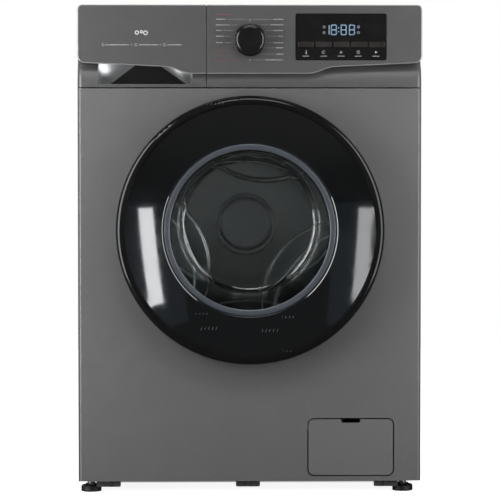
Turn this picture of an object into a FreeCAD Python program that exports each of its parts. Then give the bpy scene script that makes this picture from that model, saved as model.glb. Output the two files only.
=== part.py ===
"""Front load washing machine, built as an assembly of separate parts.

Frame: X to the right seen from the front, Y from the front to the back, Z up. The origin is on the floor,
under the middle of the whole machine. The drum, the tub and the door share one horizontal axis along Y, at
height axis_z. Sizes are in millimetres and sit in the spreadsheet "dim"; texts such as "width / 2 - sheet"
are bound to its cells.
"""
import FreeCAD, Part
import math
import os
import re
import Sketcher

SIZES = {
    # cabinet
    "width": 595, "height": 845, "front": 225, "rear": 258, "sheet": 1, "floor_gap": 19,
    "seam_z": 702, "worktop": 23, "panel_width": 591, "panel_return": 8, "panel_round": 4,
    "flange": 20, "emboss": 4, "axis_z": 457, "axis_x": 0,
    # console: face plate, cove under it, drawer seam
    "plate_front": 236, "plate_wall": 4, "skin": 3, "plate_back": 200, "cove_depth": 15, "cove_round": 69,
    "cove_top": 748, "lip_low": 726, "lip_high": 738, "lip_end": 744.5, "lip_bend": 98, "lip_run": 50,
    "lip_round": 61.1, "plate_round_top": 9, "plate_round_low": 13, "cove_corner": 8, "plate_edge": 2.5,
    "drawer_seam": 75, "seam_gap": 1,
    # display, buttons and knob
    "display_x": 78, "display_z": 749, "display_w": 158, "display_h": 81, "display_t": 3, "display_round": 4,
    "button_x": 82.8, "button_z": 771.5, "button_w": 27.2, "button_h": 9.8, "button_pitch": 30.8,
    "button_gap": 0.25, "knob_z": 784, "knob_radius": 28, "knob_depth": 25,
    # door
    "door_radius": 231, "door_depth": 47, "cover_radius": 216, "window_radius": 152, "bowl_mouth": 141,
    "cover_bend": 700,
    "bowl_end": 125, "bowl_front": 18, "bowl_depth": 100, "bowl_lift": 8, "glass": 4, "bowl_round": 16,
    "hinge_x": 209, "hinge_out": 28, "pin_radius": 4, "latch_x": 183, "running": 0.08,
    # tub and drum
    "tub_radius": 248, "tub_wall": 4, "tub_front": 152, "tub_back": 158, "tub_flange": 8, "tub_mouth": 165,
    "drum_radius": 228, "drum_wall": 1.2, "drum_front": 134, "drum_back": 127, "drum_mouth": 157,
    "lifter_height": 55, "shaft_radius": 15, "shaft_end": 12.5, "hub_radius": 40,
    "pulley_y": 205, "pulley_radius": 140, "pulley_width": 16, "belt": 3,
    "motor_x": 70, "motor_z": 121, "motor_radius": 58, "motor_pulley": 11,
    "spring_x": 190, "spring_y": 95, "spring_radius": 14, "spring_wire": 3.2, "spring_turns": 14,
    "damper_x": 168, "damper_y": 70, "damper_radius": 14, "rod_radius": 5,
    # dispenser drawer
    "tray_left": 278, "tray_right": 92, "tray_low": 722, "tray_high": 778, "tray_front": 190,
    "tray_length": 223,
    "tray_wall": 2, "grip_left": 262, "grip_right": 99, "grip_low": 708.5, "grip_depth": 193,
    "grip_rise": 44, "grip_sweep": 20,
    # pump, flap and feet
    "flap_x": 100, "flap_z": 28, "flap_w": 151, "flap_h": 101.5, "flap_round": 12, "flap_gap": 2.1,
    "flap_wall": 1, "flap_pin": 0.8, "knuckle": 1.9, "knuckle_length": 14,
    "filter_x": 150, "filter_z": 80, "filter_radius": 31,
    "foot_x": 272, "foot_front": 195, "foot_rear": 228, "pad_radius": 17.7, "pad_height": 11,
}

doc = FreeCAD.newDocument("WashingMachine")
dim = doc.addObject("Spreadsheet::Sheet", "dim")
for row, (alias, size) in enumerate(SIZES.items(), start=1):
    dim.set(f"A{row}", alias.replace("_", " "))
    dim.set(f"B{row}", str(size))
    dim.setAlias(f"B{row}", alias)
doc.recompute()
PARTS = []


# ---- helpers: every size is a text over the sheet's names ----

def bound(text):
    """The expression for a text such as "width / 2": each sheet name gets its sheet in front."""
    return re.sub(r"[a-z_]+", lambda m: "dim." + m.group() if m.group() in SIZES else m.group(), str(text))


def value(text):
    """The number that a text comes to now."""
    return float(dim.evalExpression(bound(text)))


def bind(obj, **texts):
    for prop, text in texts.items():
        obj.setExpression(prop.replace("__", "."), bound(text))
    return obj


def place(obj, x, y, z):
    return bind(obj, Placement__Base__x=x, Placement__Base__y=y, Placement__Base__z=z)


def box(low, size):
    """A block from its low corner."""
    solid = bind(doc.addObject("Part::Box", "block"), Length=size[0], Width=size[1], Height=size[2])
    return place(solid, *low)


TURNS = {
    "x": FreeCAD.Rotation(FreeCAD.Vector(0, 1, 0), 90),
    "y": FreeCAD.Rotation(FreeCAD.Vector(1, 0, 0), -90),
    "z": FreeCAD.Rotation(),
}


def rod(base, radius, length, axis="y"):
    """A cylinder from the centre of its base, running towards +axis."""
    solid = doc.addObject("Part::Cylinder", "rod")
    solid.Placement = FreeCAD.Placement(FreeCAD.Vector(), TURNS[axis])
    bind(solid, Radius=radius, Height=length)
    return place(solid, *base)


def cone(base, radius, radius_end, length, axis="y"):
    solid = doc.addObject("Part::Cone", "cone")
    solid.Placement = FreeCAD.Placement(FreeCAD.Vector(), TURNS[axis])
    bind(solid, Radius1=radius, Radius2=radius_end, Height=length)
    return place(solid, *base)


def hexagon(base, across, length, axis="y"):
    solid = doc.addObject("Part::Prism", "hexagon")
    solid.Polygon = 6
    solid.Placement = FreeCAD.Placement(FreeCAD.Vector(), TURNS[axis])
    bind(solid, Circumradius=across, Height=length)
    return place(solid, *base)


def fuse(*solids):
    joined = doc.addObject("Part::MultiFuse", "joined")
    joined.Shapes = list(solids)
    joined.Refine = True
    return joined


def cut(base, *tools):
    result = doc.addObject("Part::Cut", "cut")
    result.Base = base
    result.Tool = tools[0] if len(tools) == 1 else fuse(*tools)
    result.Refine = True
    return result


def common(first, second):
    result = doc.addObject("Part::Common", "common")
    result.Base = first
    result.Tool = second
    return result


def group(*solids):
    """Separate solids of one kind, kept together."""
    kept = doc.addObject("Part::Compound", "group")
    kept.Links = list(solids)
    return kept


def rounded(base, radius, wanted):
    """Fillets the edges that wanted(edge) picks."""
    doc.recompute()
    size = value(radius)
    edges = [i for i, edge in enumerate(base.Shape.Edges, start=1) if wanted(edge)]
    if not edges:
        raise RuntimeError(f"no edge to round on {base.Name}")
    result = doc.addObject("Part::Fillet", "rounded")
    result.Base = base
    result.Edges = [(i, size, size) for i in edges]
    return result


def along(axis):
    """Picks straight edges along one axis."""
    ways = {"x": FreeCAD.Vector(1, 0, 0), "y": FreeCAD.Vector(0, 1, 0), "z": FreeCAD.Vector(0, 0, 1)}

    def wanted(edge):
        if edge.Curve.TypeId != "Part::GeomLine":
            return False
        return abs(abs(edge.Curve.Direction.dot(ways[axis])) - 1) < 1e-6
    return wanted


def at_y(text):
    """Picks edges that lie in one plane across Y."""
    level = value(text)
    return lambda edge: max(abs(v.Point.y - level) for v in edge.Vertexes) < 1e-4


def sketch_on(body, role, shift_x, shift_y, shift_normal):
    """A sketch on one of the body's origin planes, moved within it and along its normal."""
    sketch = body.newObject("Sketcher::SketchObject", "outline")
    plane = next(o for o in body.Origin.OriginFeatures if o.Role == role)
    sketch.AttachmentSupport = (plane, [""])
    sketch.MapMode = "FlatFace"
    return bind(sketch, AttachmentOffset__Base__x=shift_x, AttachmentOffset__Base__y=shift_y,
                AttachmentOffset__Base__z=shift_normal)


def arc_centre(start, end, radius):
    """Centre of the short arc from start to end, turning left when radius is positive."""
    chord = end - start
    rise = math.sqrt(max(radius * radius - chord.Length ** 2 / 4, 0))
    left = FreeCAD.Vector(-chord.y, chord.x, 0).normalize()
    return (start + end) / 2 + left * math.copysign(rise, radius)


def draw(sketch, points):
    """A closed outline. A point (u, v) is reached by a line; (u, v, r) by an arc of radius r, left if r > 0.

    Every corner is held by two dimensions and every arc by its radius, all bound to the sheet.
    """
    corners = [FreeCAD.Vector(value(p[0]), value(p[1]), 0) for p in points]
    ends = []
    for i, point in enumerate(points):
        start, end = corners[i - 1], corners[i]
        if len(point) == 2:
            index = sketch.addGeometry(Part.LineSegment(start, end))
            ends.append((index, 1, 2))
            continue
        radius = value(point[2])
        centre = arc_centre(start, end, radius)
        first, last = (start, end) if radius > 0 else (end, start)
        angles = [math.atan2(p.y - centre.y, p.x - centre.x) for p in (first, last)]
        circle = Part.Circle(centre, FreeCAD.Vector(0, 0, 1), abs(radius))
        index = sketch.addGeometry(Part.ArcOfCircle(circle, *angles))
        ends.append((index, 1, 2) if radius > 0 else (index, 2, 1))
        held = sketch.addConstraint(Sketcher.Constraint("Radius", index, abs(radius)))
        sketch.setExpression(f"Constraints[{held}]", bound(f"abs({point[2]})"))
    for i, (index, _, last) in enumerate(ends):
        following = ends[(i + 1) % len(ends)]
        sketch.addConstraint(Sketcher.Constraint("Coincident", index, last, following[0], following[1]))
        for kind, text, now in (("DistanceX", points[i][0], corners[i].x),
                                ("DistanceY", points[i][1], corners[i].y)):
            held = sketch.addConstraint(Sketcher.Constraint(kind, -1, 1, index, last, now))
            sketch.setExpression(f"Constraints[{held}]", bound(text))


def turned(points, x="axis_x", z="axis_z"):
    """A solid of revolution about the line along Y through (x, z). Points are (y, radius)."""
    body = doc.addObject("PartDesign::Body", "turned")
    sketch = sketch_on(body, "YZ_Plane", "0", z, x)
    draw(sketch, points)
    feature = body.newObject("PartDesign::Revolution", "revolution")
    feature.Profile = sketch
    feature.ReferenceAxis = (sketch, ["H_Axis"])
    feature.Angle = 360
    body.Tip = feature
    return body


def turned_upright(points, x, y):
    """A solid of revolution about the vertical line through (x, y). Points are (radius, z)."""
    body = doc.addObject("PartDesign::Body", "turned")
    sketch = sketch_on(body, "XZ_Plane", x, "0", f"-({y})")
    draw(sketch, points)
    feature = body.newObject("PartDesign::Revolution", "revolution")
    feature.Profile = sketch
    feature.ReferenceAxis = (sketch, ["V_Axis"])
    feature.Angle = 360
    body.Tip = feature
    return body


def pad_forward(points, back, depth):
    """An outline in X and Z, padded from y = back towards the front."""
    body = doc.addObject("PartDesign::Body", "pad")
    sketch = sketch_on(body, "XZ_Plane", "0", "0", f"-({back})")
    draw(sketch, points)
    feature = body.newObject("PartDesign::Pad", "length")
    feature.Profile = sketch
    bind(feature, Length=depth)
    body.Tip = feature
    return body


def pad_across(points, left, length):
    """An outline in Y and Z, padded from x = left towards +X."""
    body = doc.addObject("PartDesign::Body", "pad")
    sketch = sketch_on(body, "YZ_Plane", "0", "0", left)
    draw(sketch, points)
    feature = body.newObject("PartDesign::Pad", "length")
    feature.Profile = sketch
    bind(feature, Length=length)
    body.Tip = feature
    return body


def pad_up(points, low, height):
    """An outline in X and Y, padded upwards from z = low."""
    body = doc.addObject("PartDesign::Body", "pad")
    sketch = sketch_on(body, "XY_Plane", "0", "0", low)
    draw(sketch, points)
    feature = body.newObject("PartDesign::Pad", "length")
    feature.Profile = sketch
    bind(feature, Length=height)
    body.Tip = feature
    return body


def soft_box(low, size, radius, axis):
    """A block whose four edges along one axis are rounded."""
    return rounded(box(low, size), radius, along(axis))


def tube_shape(points, radius, bend):
    """A round bar along straight runs joined by tangent arcs of radius bend."""
    corners = [FreeCAD.Vector(*(value(c) for c in p)) for p in points]
    edges = []
    start = corners[0]
    for before, corner, after in zip(corners, corners[1:], corners[2:]):
        to_before = (before - corner).normalize()
        to_after = (after - corner).normalize()
        half = to_before.getAngle(to_after) / 2
        reach = value(bend) / math.tan(half)
        middle_way = (to_before + to_after).normalize()
        middle = corner + middle_way * (value(bend) / math.sin(half) - value(bend))
        first, last = corner + to_before * reach, corner + to_after * reach
        edges += [Part.LineSegment(start, first).toShape(), Part.Arc(first, middle, last).toShape()]
        start = last
    edges.append(Part.LineSegment(start, corners[-1]).toShape())
    section = Part.Wire(Part.Circle(corners[0], corners[1] - corners[0], value(radius)).toShape())
    return Part.Wire(edges).makePipeShell([section], True, True)


def feature(shape):
    """A shape made with Part's own functions, as an object of the document."""
    kept = doc.addObject("Part::Feature", "feature")
    kept.Shape = shape
    return kept


def on_circle(radius, angle):
    """Texts for the point at an angle round the drum axis, as (x, z)."""
    turn = math.radians(angle)
    return (f"axis_x + ({radius}) * {math.cos(turn):.6f}", f"axis_z + ({radius}) * {math.sin(turn):.6f}")


def part(name, solid):
    """Keeps a finished object as a sub-part with its own name."""
    solid.Label = name
    PARTS.append(solid)
    return solid


# ---- cabinet ----

FOOT_SPOTS = {
    "front_left_foot": ("-foot_x - 4", "-foot_front"), "front_right_foot": ("foot_x - 4", "-foot_front"),
    "rear_left_foot": ("-foot_x", "foot_rear"), "rear_right_foot": ("foot_x", "foot_rear"),
}


def side_panel(side):
    """Folded steel side with a pressed stiffening field. side is -1 on the left and 1 on the right."""
    def span(inner, outer):
        """Low x and size for a stretch given as distances in from the outer face."""
        return (f"width / 2 - {outer}" if side > 0 else f"-width / 2 + {inner}", f"{outer} - {inner}")
    low_y, length = "-front + panel_return + 0.5", "front + rear - panel_return - 0.5 - sheet"
    x, t = span("0", "sheet")
    skin = box((x, low_y, "floor_gap"), (t, length, "height - worktop - floor_gap"))
    field_y, field_z = ("-front + 70", "front + rear - 140"), ("90", "height - 190")
    x, t = span("0", "(emboss + sheet)")
    pan = rounded(box((x, field_y[0], field_z[0]), (t, field_y[1], field_z[1])), "24", along("x"))
    x, t = span("(-1)", "emboss")
    hollow = rounded(box((x, f"{field_y[0]} + sheet", f"{field_z[0]} + sheet"),
                         (t, f"{field_y[1]} - 2 * sheet", f"{field_z[1]} - 2 * sheet")), "23", along("x"))
    x, t = span("0", "flange")
    flanges = [
        box((x, low_y, "floor_gap"), (t, "sheet", "height - worktop - floor_gap")),
        box((x, "rear - 2 * sheet", "floor_gap"), (t, "sheet", "height - worktop - floor_gap")),
        box((x, low_y, "floor_gap"), (t, length, "sheet")),
        box((x, low_y, "height - worktop - sheet"), (t, length, "sheet")),
    ]
    console_room = box(("-width", "-front", "seam_z + 0.5"),
                       ("2 * width", "front - plate_back + 0.2", "height"))
    foot_room = [rod((x, y, "floor_gap - 1"), "9", "sheet + 2", "z") for x, y in FOOT_SPOTS.values()]
    return cut(fuse(skin, pan, *flanges), hollow, console_room, *foot_room)


part("left_side_panel", side_panel(-1))
part("right_side_panel", side_panel(1))

SCREW_SPOTS_COVER = [(x, z) for x in (-180, 180) for z in (250, 380, 510, 640)]
TRANSIT_SPOTS = [(x, z) for x in (-215, 215) for z in (290, 620)]
INLET_X, OUTLET_X, GLAND_X, FITTING_Z = "-245", "215", "-130", "775"
VALVE_X = ("-262", "-230")
FILL_X, FILL_Y = "-185", "30"


def rear_panel():
    back = box(("-width / 2 + sheet", "rear - sheet", "floor_gap"),
               ("width - 2 * sheet", "sheet", "height - worktop - floor_gap"))
    service = soft_box(("-170", "rear - 5", "260"), ("340", "10", "370"), "40", "y")
    holes = [rod((str(x), "rear - 5", str(z)), "12.3", "10") for x, z in TRANSIT_SPOTS]
    holes += [rod((str(x), "rear - 5", str(z)), "2", "10") for x, z in SCREW_SPOTS_COVER]
    holes += [rod((INLET_X, "rear - 5", FITTING_Z), "17", "10"),
              rod((OUTLET_X, "rear - 5", "75"), "13", "10"),
              rod((GLAND_X, "rear - 5", FITTING_Z), "8", "10")]
    louvres = [soft_box((str(60 + 12 * i), "rear - 5", "755"), ("6", "10", "40"), "2.9", "y")
               for i in range(9)]
    ribs = [soft_box((str(x), "rear - 3.5", "60"), ("14", "3.5", "160"), "6.9", "y")
            for x in (-200, -100, 0, 100)]
    grooves = [soft_box((str(x + 1), "rear - 2.5", "61"), ("12", "5", "158"), "5.9", "y")
               for x in (-200, -100, 0, 100)]
    return cut(fuse(back, *ribs), service, *holes, *louvres, *grooves)


part("rear_panel", rear_panel())


def rear_cover():
    """Service plate over the pulley, with a raised field."""
    plate = soft_box(("-188", "rear", "242"), ("376", "sheet", "406"), "44", "y")
    field = rounded(soft_box(("-150", "rear", "280"), ("300", "6", "330"), "60", "y"), "4", at_y("rear + 6"))
    inside = rounded(soft_box(("-149", "rear - 1", "281"), ("298", "6", "328"), "59", "y"), "3",
                     at_y("rear + 5"))
    slots = [soft_box((str(-60 + 24 * i), "rear - 5", "330"), ("8", "20", "70"), "3.9", "y")
             for i in range(6)]
    holes = [rod((str(x), "rear - 5", str(z)), "2", "10") for x, z in SCREW_SPOTS_COVER]
    return cut(fuse(plate, field), inside, *slots, *holes)


part("rear_cover", rear_cover())


def screw(x, y, z, way=1):
    """A pan head screw along Y. way is 1 when the head faces the back."""
    head = rod((x, y, z), "4.5", "2.6") if way > 0 else rod((x, f"{y} - 2.6", z), "4.5", "2.6")
    shank = rod((x, f"{y} - 9", z), "1.9", "9.5") if way > 0 else rod((x, f"{y} - 0.5", z), "1.9", "9.5")
    turn = box((f"{x} - 0.5", f"{y} + 1.4" if way > 0 else f"{y} - 3", f"{z} - 3"), ("1", "1.6", "6"))
    cross = box((f"{x} - 3", f"{y} + 1.4" if way > 0 else f"{y} - 3", f"{z} - 0.5"), ("6", "1.6", "1"))
    return cut(fuse(head, shank), turn, cross)


TAB_SPOTS = ("-245", "-3", "237")
part("cabinet_screws", group(
    *[screw(str(x), "rear + sheet", str(z)) for x, z in SCREW_SPOTS_COVER],
    *[screw(x, "-front + 8", "14.5", way=-1) for x in TAB_SPOTS]))


def worktop():
    """Laminated lid in a moulded frame, sitting on the side flanges behind the console."""
    lid = rounded(box(("-width / 2", "-plate_back", "height - worktop"),
                      ("width", "plate_back + rear + 4", "worktop")),
                  "6", along("z"))
    lid = rounded(lid, "2.5", lambda e: min(v.Point.z for v in e.Vertexes) > value("height") - 1e-3)
    hollow = box(("-width / 2 + 14", "-plate_back + 14", "height - worktop - 1"),
                 ("width - 28", "plate_back + rear - 24", "worktop - 15"))
    return cut(lid, hollow)


part("worktop", worktop())


def front_panel():
    """Pressed steel front with a dished ring round the loading mouth."""
    half, wide = "panel_width / 2", "panel_width"
    tall = "seam_z - floor_gap - 2"
    outer = rounded(box((f"-{half}", "-front", "floor_gap + 1"), (wide, "panel_return", tall)), "panel_round",
                    lambda e: along("z")(e) and at_y("-front")(e))
    inner = rounded(box((f"-{half} + sheet", "-front + sheet", "floor_gap + 1 + sheet"),
                        (f"{wide} - 2 * sheet", "panel_return", f"{tall} - 2 * sheet")),
                        "panel_round - sheet",
                    lambda e: along("z")(e) and at_y("-front + sheet")(e))
    tray = cut(outer, inner)
    mouth = rod(("axis_x", "-front - 1", "axis_z"), "221", "4")
    flap_hole = soft_box(("flap_x", "-front - 1", "flap_z"), ("flap_w", "4", "flap_h"), "flap_round", "y")
    dish = turned([("-front", "222"), ("-front", "218"), ("-front + 12", "206"), ("-front + 12", "169"),
                   ("-front + 5", "165"), ("-front + 5", "164"), ("-front + 13", "168"),
                   ("-front + 13", "206.4"),
                   ("-front + 1", "218.4"), ("-front + 1", "222")])
    latch_slot = soft_box(("latch_x - 10", "-front + 5", "axis_z - 13"), ("20", "10", "26"), "3", "y")
    return cut(fuse(cut(tray, mouth, flap_hole), dish), latch_slot)


part("front_panel", front_panel())


def base_rails():
    """Folded rails under the cabinet: front with its three tabs, back, and one along each side."""
    front = fuse(
        box(("-width / 2 + 1.5", "-front + 10", "floor_gap + 1.5"), ("width - 3", "1.5", "34")),
        box(("-width / 2 + 1.5", "-front + 10", "floor_gap + 1.5"), ("width - 3", "26", "1.5")),
        *[soft_box((f"{x} - 21", "-front + 8", "9.5"), ("42", "1.5", "24"), "3", "y") for x in TAB_SPOTS],
        *[box((f"{x} - 21", "-front + 8", "floor_gap + 1.5"), ("42", "4", "10")) for x in TAB_SPOTS])
    back = fuse(
        box(("-width / 2 + 1.5", "rear - 5", "floor_gap + 1.5"), ("width - 3", "1.5", "34")),
        box(("-width / 2 + 1.5", "rear - 45", "floor_gap + 1.5"), ("width - 3", "40", "1.5")))
    sides = []
    for low in ("-width / 2 + 1.5", "width / 2 - 51.5"):
        inner = "width / 2 - 51.5" if low.startswith("width") else "-width / 2 + 50"
        sides += [box((low, "-front + 10", "floor_gap + 1.5"), ("50", "front + rear - 14", "1.5")),
                  box((inner, "-front + 10", "floor_gap + 1.5"), ("1.5", "front + rear - 14", "22"))]
    across = []
    for y in ("-damper_y", "damper_y"):
        across += [box(("-width / 2 + 50", f"{y} - 20", "floor_gap + 1.5"), ("width - 100", "40", "1.5")),
                   box(("-width / 2 + 50", f"{y} - 20", "floor_gap + 1.5"), ("width - 100", "1.5", "16")),
                   box(("-width / 2 + 50", f"{y} + 18.5", "floor_gap + 1.5"), ("width - 100", "1.5", "16"))]
    bosses = [rod((x, y, "floor_gap + 1.5"), "9", "14", "z") for x, y in FOOT_SPOTS.values()]
    bores = [rod((x, y, "floor_gap"), "5.05", "20", "z") for x, y in FOOT_SPOTS.values()]
    bores += [rod((x, "-front", "14.5"), "1.95", "20") for x in TAB_SPOTS]
    return cut(fuse(front, back, *sides, *across, *bosses), *bores)


part("base_rails", base_rails())


def foot(x, y):
    """Levelling foot: round pad with a hexagonal collar, neck and threaded stem."""
    pad = turned_upright([("0", "0"), ("pad_radius - 1", "0"), ("pad_radius", "1"),
                          ("pad_radius", "pad_height - 1.5"), ("pad_radius - 1.5", "pad_height"),
                          ("pad_radius - 5", "pad_height"), ("pad_radius - 6", "pad_height - 1"),
                          ("0", "pad_height - 1")], x, y)
    collar = hexagon((x, y, "pad_height - 2"), "10", "5", "z")
    neck = rod((x, y, "pad_height + 2"), "6.4", "floor_gap - pad_height - 2", "z")
    stem = rod((x, y, "pad_height"), "5", "42", "z")
    return fuse(pad, collar, neck, stem)


for foot_name, (foot_px, foot_py) in FOOT_SPOTS.items():
    part(foot_name, foot(foot_px, foot_py))



def top_braces():
    """Two folded channels between the sides. The rear one has an ear for each suspension spring."""
    low = "height - worktop"
    front_one = cut(box(("-width / 2 + sheet", "-plate_back + 3", f"{low} - 21"),
                        ("width - 2 * sheet", "24", "20")),
                    box(("-width / 2", "-plate_back + 4.5", f"{low} - 22"), ("width", "21", "19.5")))
    channel = cut(box(("-width / 2 + sheet", "spring_y - 16", f"{low} - 23"),
                      ("width - 2 * sheet", "32", "22")),
                  box(("-width / 2", "spring_y - 14.5", f"{low} - 24"), ("width", "29", "21.5")))
    ears = [box((f"{x} - 2", "spring_y - 14.5", f"{low} - 38"), ("4", "29", "36"))
            for x in ("-spring_x", "spring_x")]
    holes = [rod((f"{x} - 5", "spring_y", f"{low} - 28.8"), "3", "10", "x")
             for x in ("-spring_x", "spring_x")]
    return group(front_one, cut(fuse(channel, *ears), *holes))


part("top_braces", top_braces())


# ---- console ----

def console_solid():
    """Outer form of the console: the face plate with its swept lower lip, and the cove under it."""
    side, half_run = "width / 2", "lip_bend + 26.48"
    mid_z = "lip_low + 6.03"
    plate = pad_forward([
        ("-lip_bend", "lip_low", "lip_round"), ("lip_bend", "lip_low"), (half_run, mid_z, "lip_round"),
        ("lip_bend + lip_run", "lip_high", "-lip_round"), (f"{side} - plate_round_low", "lip_end"),
        (side, "lip_end + plate_round_low", "plate_round_low"), (side, "height - plate_round_top"),
        (f"{side} - plate_round_top", "height", "plate_round_top"), (f"-{side} + plate_round_top", "height"),
        (f"-{side}", "height - plate_round_top", "plate_round_top"),
        (f"-{side}", "lip_end + plate_round_low"),
        (f"-{side} + plate_round_low", "lip_end", "plate_round_low"), ("-lip_bend - lip_run", "lip_high"),
        (f"-({half_run})", mid_z, "-lip_round")],
        "-plate_back", "plate_front - plate_back")
    plate = rounded(plate, "plate_edge", at_y("-plate_front"))
    cove = pad_across([
        ("-plate_back", "seam_z + 1"), ("-plate_back", "cove_top"), ("-front + cove_depth", "cove_top"),
        ("-front", "seam_z + 3", "cove_round"), ("-front", "seam_z + 1")], f"-{side}", "width")
    corners = rounded(cove, "cove_corner", lambda e: abs(abs(e.CenterOfMass.x) - value(side)) < 1e-3
                      and e.CenterOfMass.y < -value("plate_back + 5") and e.Length > 1.5
                      and abs(e.Vertexes[0].Z - e.Vertexes[1].Z) > 1)
    return fuse(plate, corners)


def console_hollow():
    """Space inside the console."""
    side = "width / 2 - skin"
    plate = pad_forward([
        (f"-({side})", "height - skin"), (f"-({side})", "lip_end + 5"),
        ("-lip_bend - lip_run", "lip_high + 4"),
        ("-lip_bend", "lip_low + 4"), ("lip_bend", "lip_low + 4"), ("lip_bend + lip_run", "lip_high + 4"),
        (side, "lip_end + 5"), (side, "height - skin")], "-plate_back + 1",
        "plate_front - plate_wall - plate_back + 1")
    cove = pad_across([
        ("-plate_back + 1", "seam_z + 1 + skin"), ("-plate_back + 1", "cove_top + 4"),
        ("-front + cove_depth + skin", "cove_top + 4"), ("-front + cove_depth + skin", "cove_top"),
        ("-front + skin", "seam_z + 1 + skin", "cove_round - skin")],
        f"-({side})", "width - 2 * skin")
    return fuse(plate, cove)


CONSOLE = console_solid()
HOLLOW = console_hollow()


def console_half(left, right):
    """The hollow moulding between two planes across X, closed at both ends."""
    tall = ("-300", "seam_z - 10")
    outside = common(CONSOLE, box((left, *tall), (f"({right}) - ({left})", "200", "200")))
    space = common(HOLLOW, box((f"{left} + skin", *tall), (f"({right}) - ({left}) - 2 * skin", "200", "200")))
    return outside, space


def control_fascia():
    outside, space = console_half("-drawer_seam + seam_gap / 2", "width / 2")
    seat = soft_box(("display_x", "-plate_front - 1", "display_z"),
                    ("display_w", "display_t + 0.4", "display_h"),
                    "display_round", "y")
    opening = box(("display_x + 2.5", "-plate_front - 1", "display_z + 4"),
                  ("display_w - 5", "8", "display_h - 8"))
    knob_hole = rod(("0", "-plate_front - 1", "knob_z"), "10", "8")
    return cut(outside, space, seat, opening, knob_hole)


part("control_fascia", control_fascia())


def grip_form():
    """Hollow for the fingers. Its ends sweep into the back wall, which is wider below than at the top."""
    body = doc.addObject("PartDesign::Body", "grip")
    levels = []
    for level, left_run, right_run in (("grip_low", "20", "10"), ("grip_low + grip_rise", "78", "72")):
        bends = [f"({run} * {run} + grip_sweep * grip_sweep) / 2 / grip_sweep"
                 for run in (left_run, right_run)]
        sketch = sketch_on(body, "XY_Plane", "0", "0", level)
        draw(sketch, [
            ("-grip_left", "-grip_depth - grip_sweep", bends[0]), ("-grip_left", "-plate_front + plate_wall"),
            ("-grip_right", "-plate_front + plate_wall"), ("-grip_right", "-grip_depth - grip_sweep"),
            (f"-grip_right - {right_run}", "-grip_depth", bends[1]),
            (f"-grip_left + {left_run}", "-grip_depth")])
        levels.append(sketch)
    sweep = body.newObject("PartDesign::AdditiveLoft", "sweep")
    sweep.Profile = levels[0]
    sweep.Sections = levels[1:]
    sweep.Ruled = True
    body.Tip = sweep
    return body


def drawer_front():
    """Left end of the console: the face of the drawer, with a swept grip behind the lip."""
    outside, space = console_half("-width / 2", "-drawer_seam - seam_gap / 2")
    low = ("-grip_left - skin", "-front + 4", "grip_low - skin")
    wide, tall = "grip_left - grip_right + 2 * skin", "grip_rise + 2 * skin"
    lining = common(box(low, (wide, "front - 4 - plate_back", tall)), CONSOLE)
    back = box((low[0], "-plate_back - 1", low[2]), (wide, "plate_back + 1 - grip_depth + skin", tall))
    return cut(fuse(cut(outside, space), lining, back), grip_form())


part("drawer_front", drawer_front())

BUTTONS = ("temperature_button", "speed_button", "option_button", "delay_button", "start_button")


def button_x(i):
    return f"button_x + {i} * button_pitch"


def display_window():
    pane = soft_box(("display_x + 0.2", "-plate_front - 0.6", "display_z + 0.2"),
                    ("display_w - 0.4", "display_t", "display_h - 0.4"), "display_round - 0.2", "y")
    pane = rounded(pane, "0.5", at_y("-plate_front - 0.6"))
    slots = [soft_box((button_x(i), "-plate_front - 2", "button_z"), ("button_w", "8", "button_h"), "1", "y")
             for i in range(len(BUTTONS))]
    return cut(pane, *slots)


part("display_window", display_window())


def button(i):
    """A bar button with a stem behind it that reaches its switch."""
    cap = soft_box((f"{button_x(i)} + button_gap", "-plate_front - 1.4", "button_z + button_gap"),
                   ("button_w - 2 * button_gap", "7", "button_h - 2 * button_gap"), "0.8", "y")
    cap = rounded(cap, "0.6", at_y("-plate_front - 1.4"))
    stem = box((f"{button_x(i)} + button_w / 2 - 2", "-plate_front + 4", "button_z + 3"), ("4", "7.5", "4"))
    return fuse(cap, stem)


for index, button_name in enumerate(BUTTONS):
    part(button_name, button(index))


def programme_knob():
    """Hollow knob with a skirt, a rounded cap, a pointer ridge and a hub through the fascia."""
    edge = "-plate_front - knob_depth"
    form = turned([
        ("-plate_front - 0.8", "0"), ("-plate_front - 0.8", "knob_radius"),
        ("-plate_front - 5", "knob_radius"),
        ("-plate_front - 6.5", "knob_radius - 1.5", "1.5"), ("-plate_front - 6.5", "knob_radius - 2.2"),
        (f"{edge} + 5", "knob_radius - 3"), (edge, "knob_radius - 8", "5"), (edge, "0")], x="0", z="knob_z")
    inside = turned([("-plate_front", "9"), ("-plate_front", "knob_radius - 3"),
                     (f"{edge} + 6", "knob_radius - 6"), (f"{edge} + 3", "knob_radius - 9"),
                     (f"{edge} + 3", "9")],
                    x="0", z="knob_z")
    pointer = box(("-0.8", f"{edge} - 0.6", "knob_z + 10"), ("1.6", "2", "9"))
    hub = rod(("0", "-plate_front - 2", "knob_z"), "7", "14")
    return fuse(cut(form, inside), hub, pointer)


part("programme_knob", programme_knob())


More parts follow.
